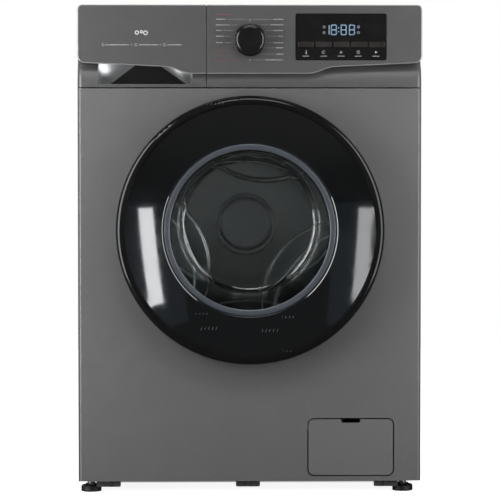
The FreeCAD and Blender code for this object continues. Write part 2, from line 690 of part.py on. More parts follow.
def control_board():
    """Circuit board behind the window and the knob, with its switches, encoder and components."""
    board = box(("-20", "-plate_front + 20", "756"), ("262", "1.6", "70"))
    top = "-plate_front + 20"
    switches = [box((f"{button_x(i)} + button_w / 2 - 3", f"{top} - 6.4", "button_z + 2"), ("6", "6.5", "6"))
                for i in range(len(BUTTONS))]
    encoder = box(("-7", f"{top} - 5.5", "knob_z - 7"), ("14", "5.6", "14"))
    digits = box(("display_x + 45", f"{top} - 11", "796"), ("68", "11.1", "24"))
    back = "-plate_front + 21.5"
    chips = [box((str(x), back, str(z)), (str(w), str(d), str(h))) for x, z, w, d, h in (
        (40, 790, 26, 9, 26), (10, 765, 30, 4, 14), (110, 765, 40, 8, 20), (175, 770, 22, 11, 34),
        (210, 800, 20, 7, 14))]
    cans = [rod((str(x), back, "815"), "5", "11") for x in (90, 104, 118)]
    return fuse(board, *switches, encoder, digits, *chips, *cans)


part("control_board", control_board())


# ---- dispenser ----

def drawer_tray():
    """Three wells for detergent, softener and prewash, with two arms to the drawer front."""
    wide = "tray_left - tray_right"
    body_box = soft_box(("-tray_left", "-tray_front", "tray_low"),
                        (wide, "tray_length", "tray_high - tray_low"),
                        "6", "z")
    deep = "tray_length - 2 * tray_wall"
    lanes = (("-tray_left + tray_wall", "62"), ("-tray_left + 66", "54"), ("-tray_left + 122", "62"))
    wells = [soft_box((x, "-tray_front + tray_wall", "tray_low + tray_wall"), (w, deep, "80"), "5", "z")
             for x, w in lanes]
    spout = box(("-tray_left + 10", "-tray_front + tray_length - 3", "tray_low + 6"),
                (f"{wide} - 20", "4", "26"))
    arms = [box((x, "-plate_front + plate_wall", "757"), ("20", "plate_front - plate_wall - tray_front + 1",
                                                          "18"))
            for x in ("-tray_left + 8", "-tray_right - 28")]
    rails = [box((x, "-tray_front + 10", "tray_high - 5"), ("4", "tray_length - 14", "2"))
             for x in ("-tray_left - 2.5", "-tray_right - 1.5")]
    cap = soft_box(("-tray_left + 67", "-tray_front + 120", "tray_low + 34"), ("52", "90", "3"), "5", "z")
    siphon = rod(("-tray_left + 93", "-tray_front + 190", "tray_low + 2"), "6", "44", "z")
    return fuse(cut(body_box, *wells, spout), *arms, *rails, cap, siphon)


part("drawer_tray", drawer_tray())


def dispenser_housing():
    """Water box round the tray, open to the front, with an outlet over the tub and spray nozzles on top."""
    low_x, wide = "-tray_left - 5.5", "tray_left - tray_right + 11"
    shell = box((low_x, "-186", "tray_low - 8"), (wide, "235", "tray_high - tray_low + 15"))
    space = box((f"{low_x} + 2.5", "-187", "tray_low - 5.5"),
                (f"{wide} - 5", "233", "tray_high - tray_low + 10"))
    outlet = rod((FILL_X, FILL_Y, "tray_low - 32"), "16", "26", "z")
    bore = rod((FILL_X, FILL_Y, "tray_low - 33"), "13.5", "30", "z")
    nozzles = [box((f"{low_x} + {x}", "-150", "tray_high + 6"), ("8", "180", "6")) for x in (30, 90, 150)]
    manifold = box((f"{low_x} + 10", "28", "tray_high + 6"), ("160", "18", "14"))
    inlets = [rod((x, "45", "tray_high + 13"), "5.5", "22") for x in VALVE_X]
    return cut(fuse(shell, outlet, *nozzles, manifold, *inlets), space, bore)


part("dispenser_housing", dispenser_housing())


def inlet_valve():
    """Solenoid valve with a threaded inlet through the rear panel."""
    body_box = soft_box(("-275", "rear - 60", "755"), ("60", "40", "38"), "5", "y")
    flange = rod((INLET_X, "rear - 21", FITTING_Z), "20", "20")
    thread = rod((INLET_X, "rear - 2", FITTING_Z), "13.2", "16")
    bore = rod((INLET_X, "rear - 15", FITTING_Z), "8.5", "40")
    coils = [rod((x, "rear - 40", "720"), "13", "38", "z") for x in VALVE_X]
    spigots = [rod((x, "rear - 90", "772"), "5.5", "32") for x in VALVE_X]
    return cut(fuse(body_box, flange, thread, *coils, *spigots), bore)


part("inlet_valve", inlet_valve())


def rear_fittings():
    """Plugs in the transit bolt holes, the mains cable gland and the drain outlet stub."""
    plugs = [fuse(cone((str(x), "rear", str(z)), "18", "15", "4"),
                  rod((str(x), "rear - 9", str(z)), "12", "10"))
             for x, z in TRANSIT_SPOTS]
    gland = cut(fuse(rod((GLAND_X, "rear", FITTING_Z), "12", "4"),
                     rod((GLAND_X, "rear - 8", FITTING_Z), "7.7", "10")),
                rod((GLAND_X, "rear - 10", FITTING_Z), "4.5", "20"))
    stub = cut(fuse(rod((OUTLET_X, "rear", "75"), "17", "2"),
                    rod((OUTLET_X, "rear - 12", "75"), "12.5", "14"),
                    rod((OUTLET_X, "rear", "75"), "10.5", "14")),
                    rod((OUTLET_X, "rear - 13", "75"), "8", "30"))
    return group(*plugs, gland, stub)


part("rear_fittings", rear_fittings())


# ---- door ----

def hinge_room():
    """Space that the hinge ears need behind the door while it swings."""
    return box(("-door_radius - 5", "-front - 36", "axis_z - 46"), ("62", "36", "92"))


def door_outer_ring():
    """Black bezel: rounded nose, tapered back that leaves a finger grip all round."""
    out = "-front"
    form = turned([
        (f"{out} - 4", "203"), (f"{out} - 20", "door_radius"), (f"{out} - 39", "door_radius"),
        (f"{out} - door_depth", "door_radius - 7", "9"), (f"{out} - door_depth", "cover_radius + 3"),
        (f"{out} - door_depth + 3", "cover_radius"), (f"{out} - 40", "cover_radius"),
        (f"{out} - 37", "cover_radius - 5"),
        (f"{out} - 33", "cover_radius - 5"), (f"{out} - 36", "door_radius - 4"),
        (f"{out} - 21", "door_radius - 4"),
        (f"{out} - 7.5", "206"), (f"{out} - 7.5", "203")])
    return cut(form, hinge_room())


part("door_outer_ring", door_outer_ring())


def door_cover():
    """Smoked dish between the bezel and the glass, curving back to the window."""
    out = "-front"
    return turned([
        (f"{out} - door_depth + 4", "cover_radius - 0.3", "cover_bend - 3"),
        (f"{out} - 40", "cover_radius - 0.3"),
        (f"{out} - 19", "window_radius + 1", "-cover_bend"), (f"{out} - 19", "window_radius - 1"),
        (f"{out} - 22", "window_radius - 1"), (f"{out} - 22.6", "window_radius")])


part("door_cover", door_cover())


def bowl_form(inset):
    """Tapered tub with a rounded far edge, shrunk by inset and tilted so that its far end rises."""
    first, last = "-front - bowl_front - 12", f"-front - bowl_front + bowl_depth - {inset}"
    wide, narrow, bend = f"bowl_mouth + 2 - {inset}", f"bowl_end - {inset}", f"bowl_round - {inset}"
    form = turned([(first, "0"), (first, wide), (f"{last} - ({bend})", narrow),
                   (last, f"{narrow} - ({bend})", f"-({bend})"), (last, "0")])
    tilt = FreeCAD.Rotation(FreeCAD.Vector(1, 0, 0), math.degrees(math.atan(value("bowl_lift / bowl_depth"))))
    pivot = FreeCAD.Vector(value("axis_x"), value("-front - bowl_front"), value("axis_z"))
    form.Placement = FreeCAD.Placement(FreeCAD.Vector(), tilt, pivot)
    return form


def door_glass():
    """Glass bowl: a flat flange held between cover and back ring, and a tapered tub."""
    mouth_y = "-front - bowl_front"
    in_front = box(("-window_radius - 20", f"{mouth_y} - 40", "axis_z - window_radius - 20"),
                   ("2 * window_radius + 40", "40", "2 * window_radius + 40"))
    flange = rod(("axis_x", mouth_y, "axis_z"), "window_radius + 6", "glass")
    return cut(fuse(cut(bowl_form("0"), in_front), flange), bowl_form("glass"))


part("door_glass", door_glass())


def door_back_ring():
    """Inner moulding of the door: a channel ring with a pad for the hinge arm and a cage for the hook."""
    out = "-front"
    ring = turned([
        (f"{out} - 14", "203"), (f"{out} - 3.5", "203"), (f"{out} - 3.5", "147"), (f"{out} - 14", "144"),
        (f"{out} - 14", "147.5"), (f"{out} - 6.5", "150"), (f"{out} - 6.5", "200"), (f"{out} - 14", "200")])
    pad = box(("-172", f"{out} - 14", "axis_z - 29"), ("14", "9", "58"))
    cage = box(("latch_x - 14", f"{out} - 14", "axis_z - 17"), ("28", "9", "34"))
    slot = box(("latch_x - 9", f"{out} - 15", "axis_z - 8"), ("18", "13", "16"))
    pivot = rod(("latch_x - 2", f"{out} - 9", "axis_z - 13.3"), "2.5 + running", "26.6", "z")
    room = box(("-door_radius", f"{out} - 15", "axis_z - 47"), ("59", "13", "94"))
    return cut(fuse(ring, pad, cage), slot, pivot, room)


part("door_back_ring", door_back_ring())


def latch_hook():
    """Hook on a pin in the back ring. Its nose reaches through the panel into the lock."""
    arm = box(("latch_x - 4", "-front - 12", "axis_z - 6.5"), ("4.5", "40", "13"))
    nose = box(("latch_x", "-front + 21", "axis_z - 6.5"), ("6", "7", "13"))
    nose = rounded(nose, "3", lambda e: along("z")(e) and e.CenterOfMass.x > value("latch_x + 5")
                   and at_y("-front + 28")(e))
    pin = rod(("latch_x - 2", "-front - 9", "axis_z - 13"), "2.5", "26", "z")
    return fuse(arm, nose, pin)


part("latch_hook", latch_hook())


def hinge_arm():
    """Moving half of the door hinge: a barrel between the ears, and a leaf screwed to the back ring."""
    hinge_y = "-front - hinge_out"
    barrel = rod(("-hinge_x", hinge_y, "axis_z - 28.5"), "7", "57", "z")
    web = box(("-hinge_x", hinge_y, "axis_z - 28.5"), ("6", "13", "57"))
    leaf = box(("-hinge_x", f"{hinge_y} + 10", "axis_z - 28.5"), ("49", "4", "57"))
    bore = rod(("-hinge_x", hinge_y, "axis_z - 30"), "pin_radius + running", "60", "z")
    return cut(fuse(barrel, web, leaf), bore)


part("door_hinge_arm", hinge_arm())


def hinge_bracket():
    """Fixed half of the hinge: a plate on the dished ring and two swan-necked ears for the pin."""
    hinge_y = "-front - hinge_out"
    plate = box(("-203", "-front + 9", "axis_z - 34"), ("31", "3", "68"))
    ears = []
    for low in ("axis_z - 34", "axis_z + 30"):
        neck = pad_up([
            ("-hinge_x + 6", "-front + 10"), ("-hinge_x + 37", "-front + 10"),
            ("-hinge_x + 33", "-front + 3"),
            ("-hinge_x + 16", "-front - 12"), ("-hinge_x + 6.5", f"{hinge_y} - 2"),
            ("-hinge_x - 6", f"{hinge_y} + 3"),
            ("-hinge_x + 5", f"{hinge_y} + 13"), ("-hinge_x + 8", "-front + 3")], low, "4")
        ears.append(fuse(neck, rod(("-hinge_x", hinge_y, low), "7", "4", "z")))
    bore = rod(("-hinge_x", hinge_y, "axis_z - 40"), "pin_radius", "80", "z")
    return cut(fuse(plate, *ears), bore)


part("hinge_bracket", hinge_bracket())
part("hinge_pin", fuse(rod(("-hinge_x", "-front - hinge_out", "axis_z - 35"), "pin_radius", "70", "z"),
                       rod(("-hinge_x", "-front - hinge_out", "axis_z + 34"), "6", "2", "z")))


def door_lock():
    """Lock box behind the panel, open to the front for the hook."""
    body_box = soft_box(("latch_x - 15", "-front + 13", "axis_z - 34"), ("33", "32", "68"), "3", "y")
    slot = box(("latch_x - 12", "-front + 12", "axis_z - 12"), ("25", "22", "24"))
    plug = box(("latch_x - 10", "-front + 44", "axis_z - 30"), ("22", "4", "14"))
    return fuse(cut(body_box, slot), plug)


part("door_lock", door_lock())


# ---- tub ----

def gasket():
    """Rubber bellows from the panel's collar to the mouth of the tub, with a lip towards the glass."""
    mouth = "tub_mouth"
    return turned([
        ("-front + 1", f"{mouth} + 3"), ("-front + 1", f"{mouth} - 8"), ("-front + 18", f"{mouth} - 22.5"),
        ("-front + 19.5", f"{mouth} - 20.5"), ("-front + 7", f"{mouth} - 7"),
        ("-front + 25", f"{mouth} - 5.5"),
        ("-front + 38", f"{mouth} - 18"), ("-front + 51", f"{mouth} - 18"),
        ("-tub_front - 11.5", f"{mouth} + 4.3"),
        ("-tub_front", f"{mouth} + 4.3"), ("-tub_front", f"{mouth} + 7"),
        ("-tub_front - 13.5", f"{mouth} + 7"),
        ("-front + 48.5", f"{mouth} - 15"), ("-front + 40", f"{mouth} - 15"),
        ("-front + 27", f"{mouth} - 1.7"),
        ("-front + 4.5", f"{mouth} - 1.7"), ("-front + 4.5", f"{mouth} + 3")])


part("door_gasket", gasket())


def gasket_clamp():
    ring = doc.addObject("Part::Torus", "ring")
    ring.Placement = FreeCAD.Placement(FreeCAD.Vector(), TURNS["y"])
    bind(ring, Radius1="tub_mouth + 8.3", Radius2="1.3")
    place(ring, "axis_x", "-tub_front - 4", "axis_z")
    screw_block = box(("axis_x - 10", "-tub_front - 7", "axis_z + tub_mouth + 7.2"), ("20", "5", "5"))
    return fuse(ring, screw_block)


part("gasket_clamp", gasket_clamp())
LOBE_ANGLES = [15 + 30 * i for i in range(12)]
LOBE_AT = "tub_radius + tub_flange"


def tub_space():
    return rod(("axis_x", "-tub_front + 4", "axis_z"), "tub_radius - tub_wall", "tub_front + tub_back - 8")


def spoke(angle, start, length, y, depth, wide):
    """A radial block: start and length run outwards from the drum axis at the angle, wide runs across."""
    turn = math.radians(angle)
    block = doc.addObject("Part::Box", "spoke")
    block.Placement = FreeCAD.Placement(FreeCAD.Vector(), FreeCAD.Rotation(FreeCAD.Vector(0, 1, 0), -angle))
    bind(block, Length=length, Width=depth, Height=wide)
    x, z = on_circle(start, angle)
    return place(block, f"{x} + ({wide}) / 2 * {math.sin(turn):.6f}", y,
                 f"{z} - ({wide}) / 2 * {math.cos(turn):.6f}")


def tub_front():
    """Front half of the tub: rounded shell, mouth rim, hoops, flange with bolt lobes and damper lugs."""
    shell = turned([
        ("0", "tub_radius - tub_wall"), ("0", LOBE_AT), ("-8", LOBE_AT), ("-8", "tub_radius"),
        ("-tub_front + 14", "tub_radius"), ("-tub_front", "tub_radius - 14", "14"),
        ("-tub_front", "tub_mouth + 4"),
        ("-tub_front - 8", "tub_mouth + 4"), ("-tub_front - 8", "tub_mouth"), ("-tub_front + 4", "tub_mouth"),
        ("-tub_front + 4", "tub_radius - 14"), ("-tub_front + 14", "tub_radius - tub_wall", "-10")])
    hoops = [turned([(f"-{y} - 1.5", "tub_radius - 1"), (f"-{y} + 1.5", "tub_radius - 1"),
                     (f"-{y} + 1.5", "tub_radius + 4"), (f"-{y} - 1.5", "tub_radius + 4")])
                     for y in (35, 100)]
    lobes = [rod((x, "-8", z), "9", "8") for x, z in (on_circle(LOBE_AT, a) for a in LOBE_ANGLES)]
    lugs = [box((f"{x} - 9", "-damper_y - 8", "238"), ("18", "16", "46")) for x in ("-damper_x", "damper_x")]
    spigot = rod(("96", "-60", "192"), "19", "50", "z")
    spigot_bore = rod(("96", "-60", "190"), "16", "55", "z")
    holes = [rod((x, "-9", z), "3", "10") for x, z in (on_circle(LOBE_AT, a) for a in LOBE_ANGLES)]
    outside = cut(fuse(*hoops, *lobes, *lugs, spigot), tub_space())
    return cut(fuse(shell, outside), *holes, spigot_bore)


part("tub_front", tub_front())


def tub_rear():
    """Rear half of the tub: shell, ribbed back wall, bearing hub, and lugs for springs, dampers and motor."""
    shell = turned([
        ("0", LOBE_AT), ("0", "tub_radius - tub_wall"), ("tub_back - 14", "tub_radius - tub_wall"),
        ("tub_back - 4", "tub_radius - 14", "-10"), ("tub_back - 4", "22"), ("tub_back", "22"),
        ("tub_back", "31"),
        ("tub_back + 16", "31"), ("tub_back + 16", "20"), ("tub_back + 28", "20"), ("tub_back + 28", "26"),
        ("tub_back + 43.5", "26"), ("tub_back + 43.5", "hub_radius - 4"), ("tub_back", "hub_radius + 4"),
        ("tub_back", "tub_radius - 14"), ("tub_back - 14", "tub_radius", "14"), ("8", "tub_radius"),
        ("8", LOBE_AT)])
    ribs = [spoke(15 * i, "hub_radius - 2", "tub_radius - hub_radius - 10", "tub_back - 1", "13", "3.5")
            for i in range(24)]
    hoops = [turned([(f"{y} - 1.5", "tub_radius - 1"), (f"{y} - 1.5", "tub_radius + 4"),
                     (f"{y} + 1.5", "tub_radius + 4"), (f"{y} + 1.5", "tub_radius - 1")]) for y in (35, 120)]
    lobes = [rod((x, "0", z), "9", "8") for x, z in (on_circle(LOBE_AT, a) for a in LOBE_ANGLES)]
    dampers = [box((f"{x} - 9", "damper_y - 8", "238"), ("18", "16", "46"))
               for x in ("-damper_x", "damper_x")]
    hangers = [box((f"{x} - 2", "spring_y - 12", "590"), ("4", "24", "58"))
               for x in ("-spring_x", "spring_x")]
    motor_lugs = [box(("motor_x - 30", y, "186"), ("60", "12", "56")) for y in ("84", "139")]
    inlet = rod((FILL_X, FILL_Y, "600"), "16", "70", "z")
    bores = [rod((x, "-1", z), "3", "10") for x, z in (on_circle(LOBE_AT, a) for a in LOBE_ANGLES)]
    bores += [rod((f"{x} - 5", "spring_y", "638.8"), "3", "10", "x") for x in ("-spring_x", "spring_x")]
    bores += [rod((FILL_X, FILL_Y, "590"), "13", "90", "z"),
              box(("-32", "tub_back - 10", "214"), ("64", "24", "14"))]
    outside = cut(fuse(*hoops, *lobes, *dampers, *hangers, *motor_lugs, inlet), tub_space())
    return cut(fuse(shell, outside, *ribs), *bores)


part("tub_rear", tub_rear())


def bolt(x, y, z, length, size):
    """A hexagon bolt whose head faces the front. y is the seat of the head."""
    head = hexagon((x, f"{y} - {size} * 1.3", z), f"{size} * 1.9", f"{size} * 1.3")
    return fuse(head, rod((x, f"{y} - 0.5", z), size, f"{length} + 0.5"))


WEIGHT_ANGLES = (40, 140, 220, 320)


def tub_bolts():
    flange = [bolt(x, "-8", z, "16", "3") for x, z in (on_circle(LOBE_AT, a) for a in LOBE_ANGLES)]
    weight = [bolt(x, "-tub_front - 38", z, "38", "4")
              for x, z in (on_circle("214", a) for a in WEIGHT_ANGLES)]
    return group(*flange, *weight)


part("tub_bolts", tub_bolts())


def front_counterweight():
    """Cast ring on the front of the tub, relieved for the door lock."""
    ring = turned([("-tub_front - 38", "181"), ("-tub_front - 38", "243"), ("-tub_front", "234"),
                   ("-tub_front", "181")])
    relief = box(("150", "-tub_front - 40", "axis_z - 50"), ("70", "22", "100"))
    holes = [rod((x, "-tub_front - 39", z), "4", "40")
             for x, z in (on_circle("214", a) for a in WEIGHT_ANGLES)]
    return cut(ring, relief, *holes)


part("front_counterweight", front_counterweight())


def top_counterweight():
    """Cast block over the tub, hollowed to the tub's curve."""
    block = soft_box(("-62", "-118", "685"), ("212", "226", "72"), "14", "z")
    curve = rod(("axis_x", "-130", "axis_z"), "tub_radius + 4", "250")
    flange_room = rod(("axis_x", "-14", "axis_z"), "tub_radius + tub_flange + 11", "24")
    return cut(block, curve, flange_room)


part("top_counterweight", top_counterweight())


def bearing(y, wide, outer, inner):
    """A sealed ball bearing: two races and a recessed shield."""
    return turned([(y, inner), (y, f"{inner} + 3"), (f"{y} + 0.8", f"{inner} + 3.5"),
                   (f"{y} + 0.8", f"{outer} - 4.5"),
                   (y, f"{outer} - 4"), (y, outer), (f"{y} + {wide}", outer),
                   (f"{y} + {wide}", f"{outer} - 4"),
                   (f"{y} + {wide} - 0.8", f"{outer} - 4.5"), (f"{y} + {wide} - 0.8", f"{inner} + 3.5"),
                   (f"{y} + {wide}", f"{inner} + 3"), (f"{y} + {wide}", inner)])


part("drum_bearings", group(bearing("tub_back", "16", "31", "shaft_radius"),
                            bearing("tub_back + 28", "15", "26", "shaft_end")))


def heater():
    """Tubular heater under the drum, sealed in the back wall of the tub."""
    loop = feature(tube_shape([("-22", "tub_back - 4", "221"), ("-22", "30", "221"), ("22", "30", "221"),
                               ("22", "tub_back - 4", "221")], "4", "16"))
    flange = box(("-32", "tub_back - 6", "214"), ("64", "18", "14"))
    pins = [box((f"{x} - 3", "tub_back + 11", "218"), ("6", "10", "0.8")) for x in ("-20", "20")]
    return fuse(loop, flange, *pins)


part("heater", heater())

# ---- drum ----

LIFTER_ANGLES = (80, 200, 320)


def drum_shell():
    """Stainless drum with a rounded front shoulder and a raised boss in its back wall."""
    return turned([
        ("-drum_front", "drum_mouth"), ("-drum_front", "drum_radius - 14"),
        ("-drum_front + 14", "drum_radius", "-14"),
        ("drum_back", "drum_radius"), ("drum_back", "0"), ("drum_back - 6", "0"), ("drum_back - 6", "50"),
        ("drum_back - drum_wall", "58"), ("drum_back - drum_wall", "drum_radius - drum_wall"),
        ("-drum_front + 14", "drum_radius - drum_wall"),
        ("-drum_front + drum_wall", "drum_radius - 14", "14 - drum_wall"),
        ("-drum_front + drum_wall", "drum_mouth")])


part("drum_shell", drum_shell())


def polar(outwards, across, angle):
    """Texts for a point given outwards from the drum axis and across that direction."""
    turn = math.radians(angle)
    x = f"axis_x + ({outwards}) * {math.cos(turn):.6f} - ({across}) * {math.sin(turn):.6f}"
    z = f"axis_z + ({outwards}) * {math.sin(turn):.6f} + ({across}) * {math.cos(turn):.6f}"
    return x, z


def lifter(angle):
    """Hollow paddle on the drum wall, with a rounded crest."""
    inner = "drum_radius - drum_wall"
    crest = f"{inner} - lifter_height + 12"
    form = pad_forward([
        polar(inner, "-29", angle), polar(crest, "-12", angle), (*polar(crest, "12", angle), "-12.5"),
        polar(inner, "29", angle)], "drum_back - 22", "drum_front + drum_back - 50")
    wall = rod(("axis_x", "-drum_front", "axis_z"), inner, "drum_front + drum_back")
    return common(form, wall)


part("drum_lifters", group(*[lifter(angle) for angle in LIFTER_ANGLES]))


def drum_spider():
    """Three-armed casting behind the drum with the stepped shaft in its hub."""
    hub = turned([("drum_back", "0"), ("drum_back", "46"), ("drum_back + 12", "34"), ("drum_back + 22", "30"),
                  ("drum_back + 22", "shaft_radius"), ("tub_back + 28", "shaft_radius"),
                  ("tub_back + 28", "shaft_end"), ("pulley_y + pulley_width", "shaft_end"),
                  ("pulley_y + pulley_width", "0")])
    arms = [spoke(a, "20", "drum_radius - 26", "drum_back", "12", "34") for a in (20, 140, 260)]
    ribs = [spoke(a, "20", "drum_radius - 50", "drum_back + 10", "8", "8") for a in (20, 140, 260)]
    return fuse(hub, *arms, *ribs)


part("drum_spider", drum_spider())


def drum_pulley():
    """Cast pulley with six spokes, bolted to the end of the shaft."""
    rim = turned([("pulley_y", "pulley_radius - 7"), ("pulley_y", "pulley_radius"),
                  ("pulley_y + pulley_width", "pulley_radius"),
                  ("pulley_y + pulley_width", "pulley_radius - 7")])
    hub = turned([("pulley_y - 2", "shaft_end"), ("pulley_y - 2", "24"), ("pulley_y + pulley_width", "20"),
                  ("pulley_y + pulley_width", "shaft_end")])
    spokes = [spoke(60 * i + 30, "16", "pulley_radius - 20", "pulley_y + 3", "10", "12") for i in range(6)]
    nut = hexagon(("axis_x", "pulley_y + pulley_width + 3", "axis_z"), "11", "8")
    washer = rod(("axis_x", "pulley_y + pulley_width", "axis_z"), "17", "3")
    bore = rod(("axis_x", "pulley_y - 5", "axis_z"), "shaft_end", "pulley_width + 5")
    return fuse(cut(fuse(rim, hub, *spokes), bore), washer, nut)


part("drum_pulley", drum_pulley())


def belt_outline(extra):
    """Closed belt line round both pulleys, grown outwards by extra."""
    run_x, run_z = value("motor_x - axis_x"), value("motor_z - axis_z")
    lean = math.degrees(math.atan2(run_z, run_x))
    spread = math.degrees(math.acos(value("pulley_radius - motor_pulley") / math.hypot(run_x, run_z)))

    def at(x, z, radius, angle):
        turn = math.radians(angle)
        return f"{x} + ({radius}) * {math.cos(turn):.6f}", f"{z} + ({radius}) * {math.sin(turn):.6f}"
    big, small = f"pulley_radius + {extra}", f"motor_pulley + {extra}"
    far = at("axis_x", "axis_z", big, lean + 180)
    first, last = at("axis_x", "axis_z", big, lean - spread), at("axis_x", "axis_z", big, lean + spread)
    small_first = at("motor_x", "motor_z", small, lean - spread)
    small_last = at("motor_x", "motor_z", small, lean + spread)
    return [(*first, big), small_first, (*small_last, small), last, (*far, big)]


def drive_belt():
    low, wide = "pulley_y + pulley_width / 2 + 6", "12"
    return cut(pad_forward(belt_outline("belt + 0.3"), low, wide),
               pad_forward(belt_outline("0.3"), f"{low} + 1", f"{wide} + 2"))


part("drive_belt", drive_belt())


def drive_motor():
    """Motor slung under the tub: stacked stator between two end shields with ears."""
    y, back = "66", "190"
    form = turned([(y, "0"), (y, "30"), (f"{y} + 8", "motor_radius - 10"), (f"{y} + 20", "motor_radius - 4"),
                   (f"{y} + 34", "motor_radius - 4"), (f"{y} + 34", "motor_radius"),
                   (f"{y} + 84", "motor_radius"),
                   (f"{y} + 84", "motor_radius - 4"), (f"{back} - 24", "motor_radius - 6"),
                   (f"{back} - 12", "30"),
                   (back, "24"), (back, "5 + running"), (f"{back} - 40", "5 + running"),
                   (f"{back} - 40", "0")],
                  x="motor_x", z="motor_z")
    ears = [box(("motor_x - 30", at, "motor_z + 30"), ("60", "12", "35")) for at in ("84", "139")]
    plug = box(("motor_x + 20", "76", "motor_z - 66"), ("24", "20", "22"))
    return fuse(form, *ears, plug)


part("drive_motor", drive_motor())
part("motor_pulley", fuse(
    rod(("motor_x", "152", "motor_z"), "5", "pulley_y - 152"),
    rod(("motor_x", "pulley_y", "motor_z"), "motor_pulley", "pulley_width"),
    rod(("motor_x", "pulley_y - 2", "motor_z"), "motor_pulley + 3", "2"),
    rod(("motor_x", "pulley_y + pulley_width", "motor_z"), "motor_pulley + 3", "2")))


# ---- suspension ----

def spring(x):
    """A coil with a half-round hook at each end, hung from the brace and carrying the tub."""
    radius, wire = value("spring_radius"), value("spring_wire") / 2
    low, high = 640 + radius, value("height - worktop - 30") - radius
    centre = FreeCAD.Vector(value(x), value("spring_y"), low)
    turns = value("spring_turns")
    path = Part.makeHelix((high - low) / turns, high - low, radius)
    start = Part.Wire(Part.Circle(FreeCAD.Vector(radius, 0, 0), FreeCAD.Vector(0, 1, 0), wire).toShape())
    coil = Part.Wire(path).makePipeShell([start], True, True)
    coil.translate(centre)
    hooks = []
    for level, way in ((low, -1), (high, 1)):
        middle = FreeCAD.Vector(centre.x, centre.y, level)
        arc = Part.Arc(middle + FreeCAD.Vector(-radius, 0, 0), middle + FreeCAD.Vector(0, 0, way * radius),
                       middle + FreeCAD.Vector(radius, 0, 0)).toShape()
        ring = Part.Wire(Part.Circle(middle + FreeCAD.Vector(-radius, 0, 0), FreeCAD.Vector(0, 0, 1),
                                     wire).toShape())
        hooks.append(Part.Wire(arc).makePipeShell([ring], True, True))
    return feature(coil.fuse(hooks))


part("suspension_springs", group(spring("-spring_x"), spring("spring_x")))
DAMPER_SPOTS = [(x, y) for x in ("-damper_x", "damper_x") for y in ("-damper_y", "damper_y")]
part("damper_cylinders", group(*[
    cut(fuse(rod((x, y, "42"), "damper_radius", "128", "z"), rod((x, y, "25"), "6", "18", "z"),
             rod((x, y, "22"), "12", "4", "z")),
        rod((x, y, "50"), "damper_radius - 2.5", "115", "z"), rod((x, y, "100"), "rod_radius + running", "80",
                                                                  "z"))
    for x, y in DAMPER_SPOTS]))
part("damper_rods", group(*[
    fuse(rod((x, y, "90"), "rod_radius", "148", "z"), rod((x, y, "90"), "damper_radius - 2.5 - running", "16",
                                                          "z"),
         rod((x, y, "232"), "8", "6", "z"))
    for x, y in DAMPER_SPOTS]))


# ---- pump, hoses and flap ----

def drain_pump():
    """Filter chamber, pump and its motor on one axis, with a bracket to the front rail."""
    x, z = "filter_x", "filter_z"
    chamber = rod((x, "-200", z), "filter_radius + 4", "70")
    hollow = rod((x, "-201", z), "filter_radius", "64")
    volute = rod((x, "-131", z), "36", "22")
    motor = rod((x, "-110", z), "24", "22")
    inlet = rod((x, "-150", f"{z} + 20"), "16", "40", "z")
    outlet = rod((f"{x} + 20", "-120", f"{z} + 14"), "10", "46", "x")
    bracket = box((f"{x} - 50", "-189", "22"), ("100", "53", "2.5"))
    post = box((f"{x} - 6", "-189", "22"), ("12", "60", "26"))
    bore = rod((x, "-150", f"{z} + 20"), "13", "41", "z")
    return cut(fuse(chamber, volute, motor, inlet, outlet, bracket, post), hollow, bore)


part("drain_pump", drain_pump())


def pump_filter():
    """Screw-in filter with a grip bar on its cap and a basket in the chamber."""
    x, z = "filter_x", "filter_z"
    cap = rod((x, "-207", z), "filter_radius - 1", "6")
    flange = rod((x, "-209", z), "filter_radius + 2", "7")
    grip = soft_box((f"{x} - 24", "-219", f"{z} - 4"), ("48", "12", "8"), "3", "y")
    basket = cut(rod((x, "-202", z), "filter_radius - 3", "60"),
                 rod((x, "-198", z), "filter_radius - 5", "60"))
    slots = [box((f"{x} - 40", f"{-190 + 14 * i}", f"{z} - 12"), ("80", "7", "24")) for i in range(3)]
    return cut(fuse(cap, flange, grip, basket), *slots)


part("pump_filter", pump_filter())


def inner_hoses():
    """Hoses inside: dispenser to tub, tub to pump, pump to the rear outlet, valve to dispenser."""
    def hose(points, outer, inner, bend):
        return feature(tube_shape(points, outer, bend).cut(tube_shape(points, inner, bend)))
    fill = cut(rod((FILL_X, FILL_Y, "652"), "18.5", "50", "z"),
               rod((FILL_X, FILL_Y, "651"), "16.2", "52", "z"))
    sump = hose([("96", "-60", "203"), ("96", "-60", "170"), ("filter_x", "-150", "150"),
                 ("filter_x", "-150", "121")], "22", "19.2", "24")
    drain = hose([("filter_x + 46", "-120", "94"), (f"{OUTLET_X} + 12", "-120", "94"),
                  (f"{OUTLET_X} + 12", "120", "94"),
                  (OUTLET_X, "160", "75"), (OUTLET_X, "rear - 4", "75")], "14.5", "12.7", "24")
    feeds = [hose([(x, "rear - 66", "772"), (x, "135", "772"), (x, "95", "tray_high + 13"),
                   (x, "49", "tray_high + 13")], "7.5", "5.7", "20") for x in VALVE_X]
    return group(fill, sump, drain, *feeds)


part("inner_hoses", inner_hoses())
FLAP_AXIS_Y, FLAP_AXIS_Z = "-front + 0.5 + knuckle", "flap_z + flap_gap + 3.2"
KNUCKLES = ("flap_x + 16", "flap_x + flap_w - 30")


